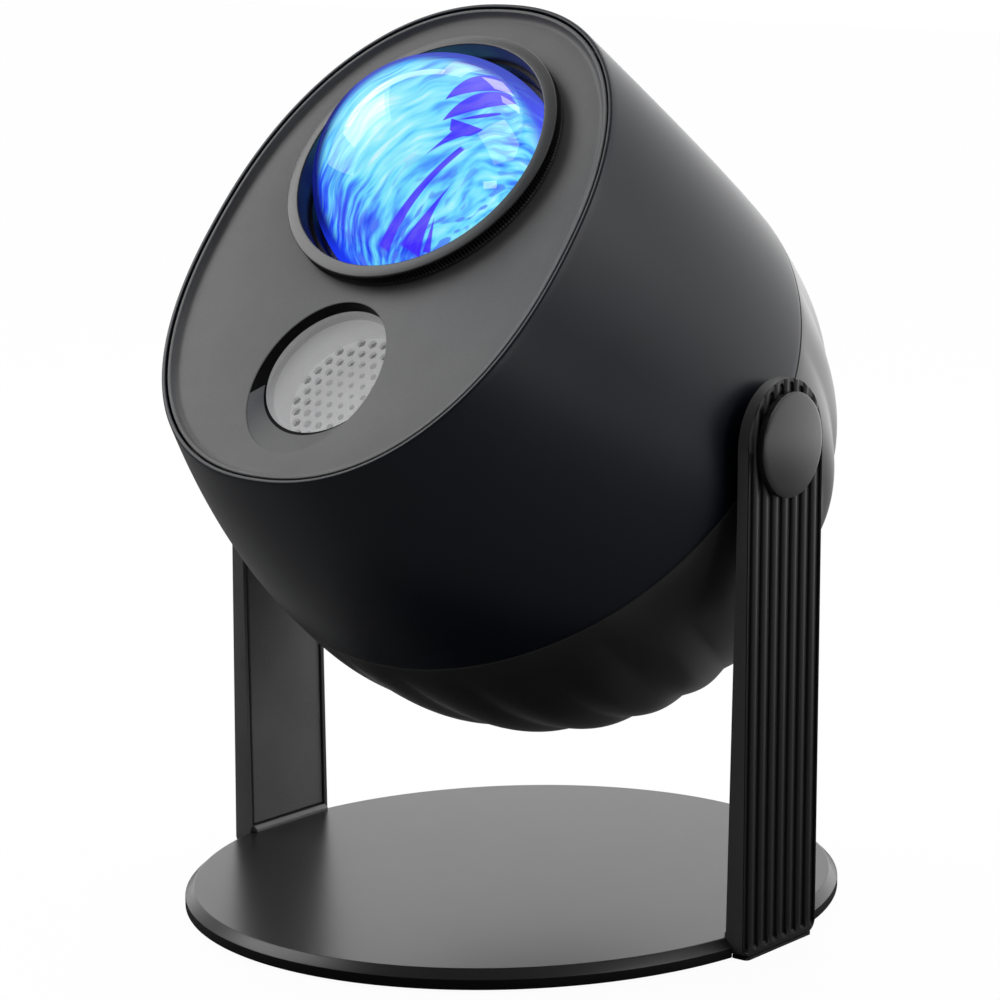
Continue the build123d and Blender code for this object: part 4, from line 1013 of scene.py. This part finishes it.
def streaks(finish, x, y):
    """Two noises drawn out round the streaks' middle: read by the angle and the swayed distance."""
    from_x, from_y = x - STREAK_RIGHT, y - STREAK_UP
    bend = ((from_x + from_y) * -1.0).math("ARCTAN2", from_y - from_x)
    sway = finish.noise(finish.join(x * 0.07, y * 0.07, 0.3), 1.0, detail=1.0) - 0.5
    swayed = distance(from_x, from_y) + sway * 9.0
    streak = finish.noise(finish.join(bend * 4.2, swayed * 0.5, 0.0), 1.0)
    fleck = finish.noise(finish.join(bend * 7.5, swayed * 0.72, 5.0), 1.0, detail=0.5)
    return streak, fleck


def all_leaves(x, y):
    """One mask of all the leaves, the largest of theirs."""
    first, *others = [leaf(x, y, *measures) for measures in LEAVES]
    for mask in others:
        first = first.high(mask)
    return first


def blue_rim(finish, x, y, streak, low_left, out_there):
    """Mask and colour of the rim: what lies outside a wavy circle, or on the left a wider one.

    It is deep blue, violet on the right, dull above and nearly black on the far left."""
    mask = (distance(x, y, RIM_RIGHT, RIM_UP) + streak * 6.0).step(30.0, 35.5)
    left = (out_there + streak * 5.0).step(32.5, 38.5) * x.step(4.0, -10.0)
    mask = (mask * (1.0 - low_left * 0.55)).high(left) * out_there.step(58.0, 46.0)
    colour = finish.mix(x.step(-8.0, 14.0), (0.012, 0.04, 0.85), (0.08, 0.105, 0.95))
    colour = finish.mix(streak.step(0.45, 0.7) * x.step(0.0, 14.0), colour, (0.12, 0.26, 1.0))
    colour = finish.mix(y.step(12.0, 30.0), colour, (0.06, 0.085, 0.5))
    colour = finish.mix(x.step(-22.0, -32.0) * y.step(-24.0, -10.0), colour, (0.003, 0.006, 0.15))
    return mask, colour


def glow_finish():
    """Lit ripple picture in the dome: streaks round a far middle, a glare that is partly a painted
    reflection of the lamps, violet leaves, deep blue rim.
    """
    finish = Finish("dome_glow", (0.004, 0.01, 0.06), 0.12, coat=1.0, specular=0.0)
    finish.set("Coat IOR", 1.8)
    x, y = picture_place(finish)
    streak, fleck = streaks(finish, x, y)
    # glare: the picture's white core, partly a painted reflection of the lamps on its upper left
    glare = distance(x, y, GLARE_RIGHT, GLARE_UP).step(18.0, 3.0)
    low_left = (x * -0.62 + y * -0.78).step(5.0, 26.0)
    on_right = x.step(2.0, 18.0)
    low = (y * -0.9 + x * 0.05).step(-6.0, 12.0)
    sky = finish.ramp(
        (streak - 0.5) * (on_right * 0.5 + low_left * 0.6 + 0.95) + 0.57
        + glare * 0.17 - low_left * 0.27 - on_right * 0.03,
        SKY_STOPS,
    )
    specks = fleck.step(0.45, 0.33) * (low * 0.55 + on_right * 0.2 + 0.25) * (1.0 - glare)
    picture = finish.mix(specks, sky, (0.085, 0.20, 0.95))
    violet = finish.mix(streak.step(0.35, 0.7), (0.055, 0.022, 1.0), (0.12, 0.06, 0.93))
    picture = finish.mix(all_leaves(x, y) * 0.96, picture, violet)
    out_there = distance(x, y)
    rim, rim_colour = blue_rim(finish, x, y, streak, low_left, out_there)
    finish.set("Emission Color", finish.mix(rim, picture, rim_colour))
    finish.set("Emission Strength", 1.05)
    # the glass shines less at the rim and on the lower right
    clear = 1.0 - out_there.step(26.0, 33.0) * out_there.step(56.0, 46.0) * 0.97
    finish.set("Coat Weight", clear * (1.0 - x.step(2.0, 10.0) * y.step(14.0, 6.0) * 0.45))
    return finish.material


def clear_finish(name, colour, roughness, veil):
    """Glass or film whose haze covers that share of what lies behind it."""
    finish = Finish(name, colour, roughness)
    haze = finish.noise(finish.place, 1500.0)
    finish.set("Alpha", haze * 0.06 + (veil - 0.03))
    finish.bump(haze, 0.15, GRAIN_DEPTH)
    return finish.material


def painted_glow_finish(name, colour, strength):
    """Pale matt moulding with painted light: a faint glow in its own colour stands in for the light
    inside the head and lifts it a little.
    """
    finish = Finish(name, colour, 0.6)
    # painted light: emission in the moulding's own colour, though it is no lamp
    finish.set("Emission Color", colour)
    finish.set("Emission Strength", strength)
    return grained(finish, colour, 0.05, 3000.0, 0.6, 0.6)


def steel_finish(name, colour, roughness):
    """Metal with a brushed grain along X."""
    finish = Finish(name, colour, roughness, 1.0)
    brushed = finish.noise(finish.mapped(scale=(0.05, 1, 1)), 4000.0)
    finish.set("Roughness", brushed * 0.2 + (roughness - 0.1))
    finish.bump(brushed, 0.1, 0.01)
    return finish.material


def dress(node, material):
    """Gives a CAD node's mesh that finish."""
    for slot in frame["nodes"][node].material_slots:
        slot.material = material


# ------------------------------------------------------------------ room, floor, lamps
WHITE = (1.0, 1.0, 1.0)
FLOOR_HALF = 3.0


def split(tree, vector):
    """The three values of a vector socket."""
    return [Socket(tree, out) for out in add_node(tree, "ShaderNodeSeparateXYZ", Vector=vector).outputs]


def room():
    """World: bright behind the object, dim in front of it, white where the camera sees it."""
    world = bpy.data.worlds.new("studio")
    bpy.context.scene.world = world
    world.use_nodes = True
    tree = world.node_tree
    back = tree.nodes["Background"]
    seen = read_node(tree, "ShaderNodeLightPath", output="Is Camera Ray")
    x, y, z = split(tree, read_node(tree, "ShaderNodeTexCoord", output="Generated"))
    behind = (x * -0.124 + y * 0.970 + z * 0.198).step(0.06, 0.75)
    above = z.step(0.35, 0.95)
    horizon = (x * -0.602 + y * 0.777).step(0.75, 0.93) * z.step(0.15, 0.03)
    light = behind * (1.48 - z.step(0.08, 0.65) * 0.8) + horizon * 0.8 + above * 0.08 + 0.07
    feed(tree, back.inputs["Color"], WHITE)
    feed(tree, back.inputs["Strength"], light * (1.0 - seen) + seen * 1.03)


def floor():
    """Floor that looks white from above and still takes a faint shadow."""
    half = FLOOR_HALF
    mesh = bpy.data.meshes.new("floor")
    mesh.from_pydata(
        [(-half, -half, 0), (half, -half, 0), (half, half, 0), (-half, half, 0)], [], [(0, 1, 2, 3)]
    )
    plane = bpy.data.objects.new("floor", mesh)
    bpy.context.scene.collection.objects.link(plane)
    finish = Finish("floor_white", (0.2, 0.2, 0.2), 0.7)
    tree = finish.tree
    seen = read_node(tree, "ShaderNodeLightPath", output="Is Camera Ray")
    x, y, _ = split(tree, finish.place)
    far = (x * 0.25 + y * 0.97).step(0.2, 0.8)
    shine = read_node(
        tree, "ShaderNodeEmission", Color=WHITE, Strength=seen * 1.17 + (1.0 - seen) * 1.6
    )
    share = seen * 0.82 + (1.0 - seen) * far
    matt = Socket(tree, finish.shader.outputs[0])
    surface = read_node(tree, "ShaderNodeMixShader", i0=share, i1=matt, i2=shine)
    feed(tree, tree.nodes["Material Output"].inputs["Surface"], surface)
    mesh.materials.append(finish.material)


def lamps():
    """Soft lamps to the left, above, to the right and behind, each aimed at the head."""
    softbox("left_box", (-699, -345, 610), (0, -40, 150), (700, 850), 2.5)
    softbox("left_core", (-659, -317, 717), (0, -40, 160), (400, 500), 1.5)
    softbox("left_strip", (-625, 90, 860), (0, -40, 160), (150, 1000), 1.2, (0.51, 0.61, 0.60))
    softbox("top_strip", (-240, 470, 860), (0, -40, 160), (170, 430), 0.45)
    softbox("right_box", (730, 155, 640), (0, -40, 150), (520, 460), 1.95)
    softbox("right_low", (870, -150, 190), (0, -40, 150), (190, 90), 0.35)
    softbox("back_box", (20, 600, 800), (0, -40, 160), (180, 200), 0.35)
    softbox("back_strip", (270, 560, 780), (0, -40, 160), (110, 190), 0.2)


# ------------------------------------------------------------------ assembly
camera()
room()
floor()
lamps()
bpy.context.scene.view_settings.view_transform = "Standard"

front_finish = shell_finish("front_shell_satin", (0.0026, 0.0048, 0.0115), 0.36)
rear_finish = shell_finish("rear_shell_satin", (0.036, 0.036, 0.0364), 0.31)
panel_finish = plain_finish("face_grey", (0.155, 0.155, 0.155), 0.5, grain=4000.0)
# A lighter copy of face_grey for the scoop's slope: painted light.
scoop_lit_copy = plain_finish("scoop_grey_painted_light", (0.165, 0.165, 0.165), 0.5, grain=4000.0)
ring_face = plain_finish("ring_satin", (0.075, 0.075, 0.075), 0.28)
ring_side = plain_finish("ring_black", (0.007, 0.007, 0.007), 0.38)
arm_finish = plain_finish("arm_satin", (0.1, 0.1, 0.1005), 0.4)
rib_finish = plain_finish("arm_ribs_black", (0.003, 0.003, 0.0031), 0.42, specular=0.43)
cover_finish = plain_finish("cover_satin", (0.27, 0.27, 0.271), 0.42)
trim_finish = plain_finish("trim_grey", (0.3, 0.3, 0.3), 0.35)
cap_finish = plain_finish("cap_satin", (0.02, 0.02, 0.0203), 0.24)
base_finish = plain_finish("base_satin", (0.017, 0.017, 0.0173), 0.3, grain=6000.0, specular=0.42)
base_side = plain_finish("base_side_black", (0.002, 0.002, 0.002), 0.6, specular=0.2)
# Near-black for the scoop's steep wall and the knurls' valleys: painted shade.
shade_black_finish = plain_finish("painted_shade_black", (0.002, 0.002, 0.002), 0.6, specular=0.1)
cell_finish = plain_finish("lens_cell_satin", (0.06, 0.06, 0.065), 0.35)
black_finish = plain_finish("inner_black", (0.006, 0.006, 0.006), 0.55)
rubber_finish = plain_finish("foot_rubber", (0.01, 0.01, 0.01), 0.7)
screw_finish = steel_finish("screw_steel", (0.5, 0.5, 0.5), 0.35)
# These four finishes glow a little: painted light on the star plate, its holes, the film and the tube
# behind the window.
plate_finish = painted_glow_finish("star_plate_white", (0.8, 0.8, 0.8), 0.25)
hole_painted_shade = painted_glow_finish("star_plate_holes_painted_shade", (0.56, 0.56, 0.56), 0.2)
film_finish = painted_glow_finish("star_film", (0.42, 0.42, 0.44), 0.3)
tube_finish = painted_glow_finish("star_tube_grey", (0.62, 0.62, 0.62), 0.24)
acetal_finish = plain_finish("gear_white", (0.75, 0.75, 0.72), 0.4)
pane_finish = clear_finish("window_frost", (0.62, 0.62, 0.63), 0.28, 0.23)
ripple_finish = clear_finish("ripple_glass", (0.75, 0.85, 0.9), 0.08, 0.3)
condenser_finish = clear_finish("condenser_glass", (0.8, 0.85, 0.85), 0.05, 0.25)
board_finish = plain_finish("board_green", (0.02, 0.12, 0.06), 0.35)
button_finish = plain_finish("button_rubber", (0.03, 0.03, 0.031), 0.6)
brass_finish = steel_finish("brass", (0.7, 0.52, 0.24), 0.3)
paper_finish = plain_finish("speaker_paper", (0.05, 0.05, 0.05), 0.85, grain=1500.0, spread=0.3)
cap_rear_finish = plain_finish("rear_cap_satin", (0.01, 0.01, 0.0105), 0.4)

front_shell(front_finish)
rear_shell(rear_finish)
face_panel(panel_finish, scoop_lit_copy, shade_black_finish, tube_finish)
star_plate(plate_finish, hole_painted_shade)
focus_ring(ring_face, ring_side, shade_black_finish, cell_finish)
dome(glow_finish())
base_plate(base_finish, base_side)
for side, name in ((1, "right"), (-1, "left")):
    ribbed_arm(f"{name}_arm_ribbed", f"{name}_arm", side, arm_finish, rib_finish)
    arm_cover(f"{name}_cover_skin", f"{name}_arm_cover", side, cover_finish)
    pivot_cap(f"{name}_cap_skin", f"{name}_pivot_cap", side, cap_finish)

finishes = {
    "foot_rubber": rubber_finish, "arm_trim": trim_finish, "screw_steel": screw_finish,
    "washer_rubber": rubber_finish, "bush_brass": brass_finish, "face_seal": black_finish,
    "window_pane": pane_finish, "inner_black": black_finish, "gear_white": acetal_finish,
    "ripple_glass": ripple_finish, "motor_steel": screw_finish, "sink_aluminium": screw_finish,
    "board_green": board_finish, "led_emitters": acetal_finish, "reflector_mirror": screw_finish,
    "condenser_glass": condenser_finish, "laser_brass": brass_finish,
    "star_film": film_finish, "board_parts": black_finish, "speaker_paper": paper_finish,
    "rear_cap": cap_rear_finish, "inlet_steel": screw_finish, "buttons": button_finish,
}
# The nodes that keep the CAD's own mesh get their finish by the record's slot names.
for subpart in frame["record"]["subparts"]:
    if subpart["material_slot"] in finishes:
        dress(subpart["node"], finishes[subpart["material_slot"]])

# The retainer takes the glowing tube finish too: painted light.
dress("star_plate_retainer", tube_finish)
dress("lens_cell", cell_finish)
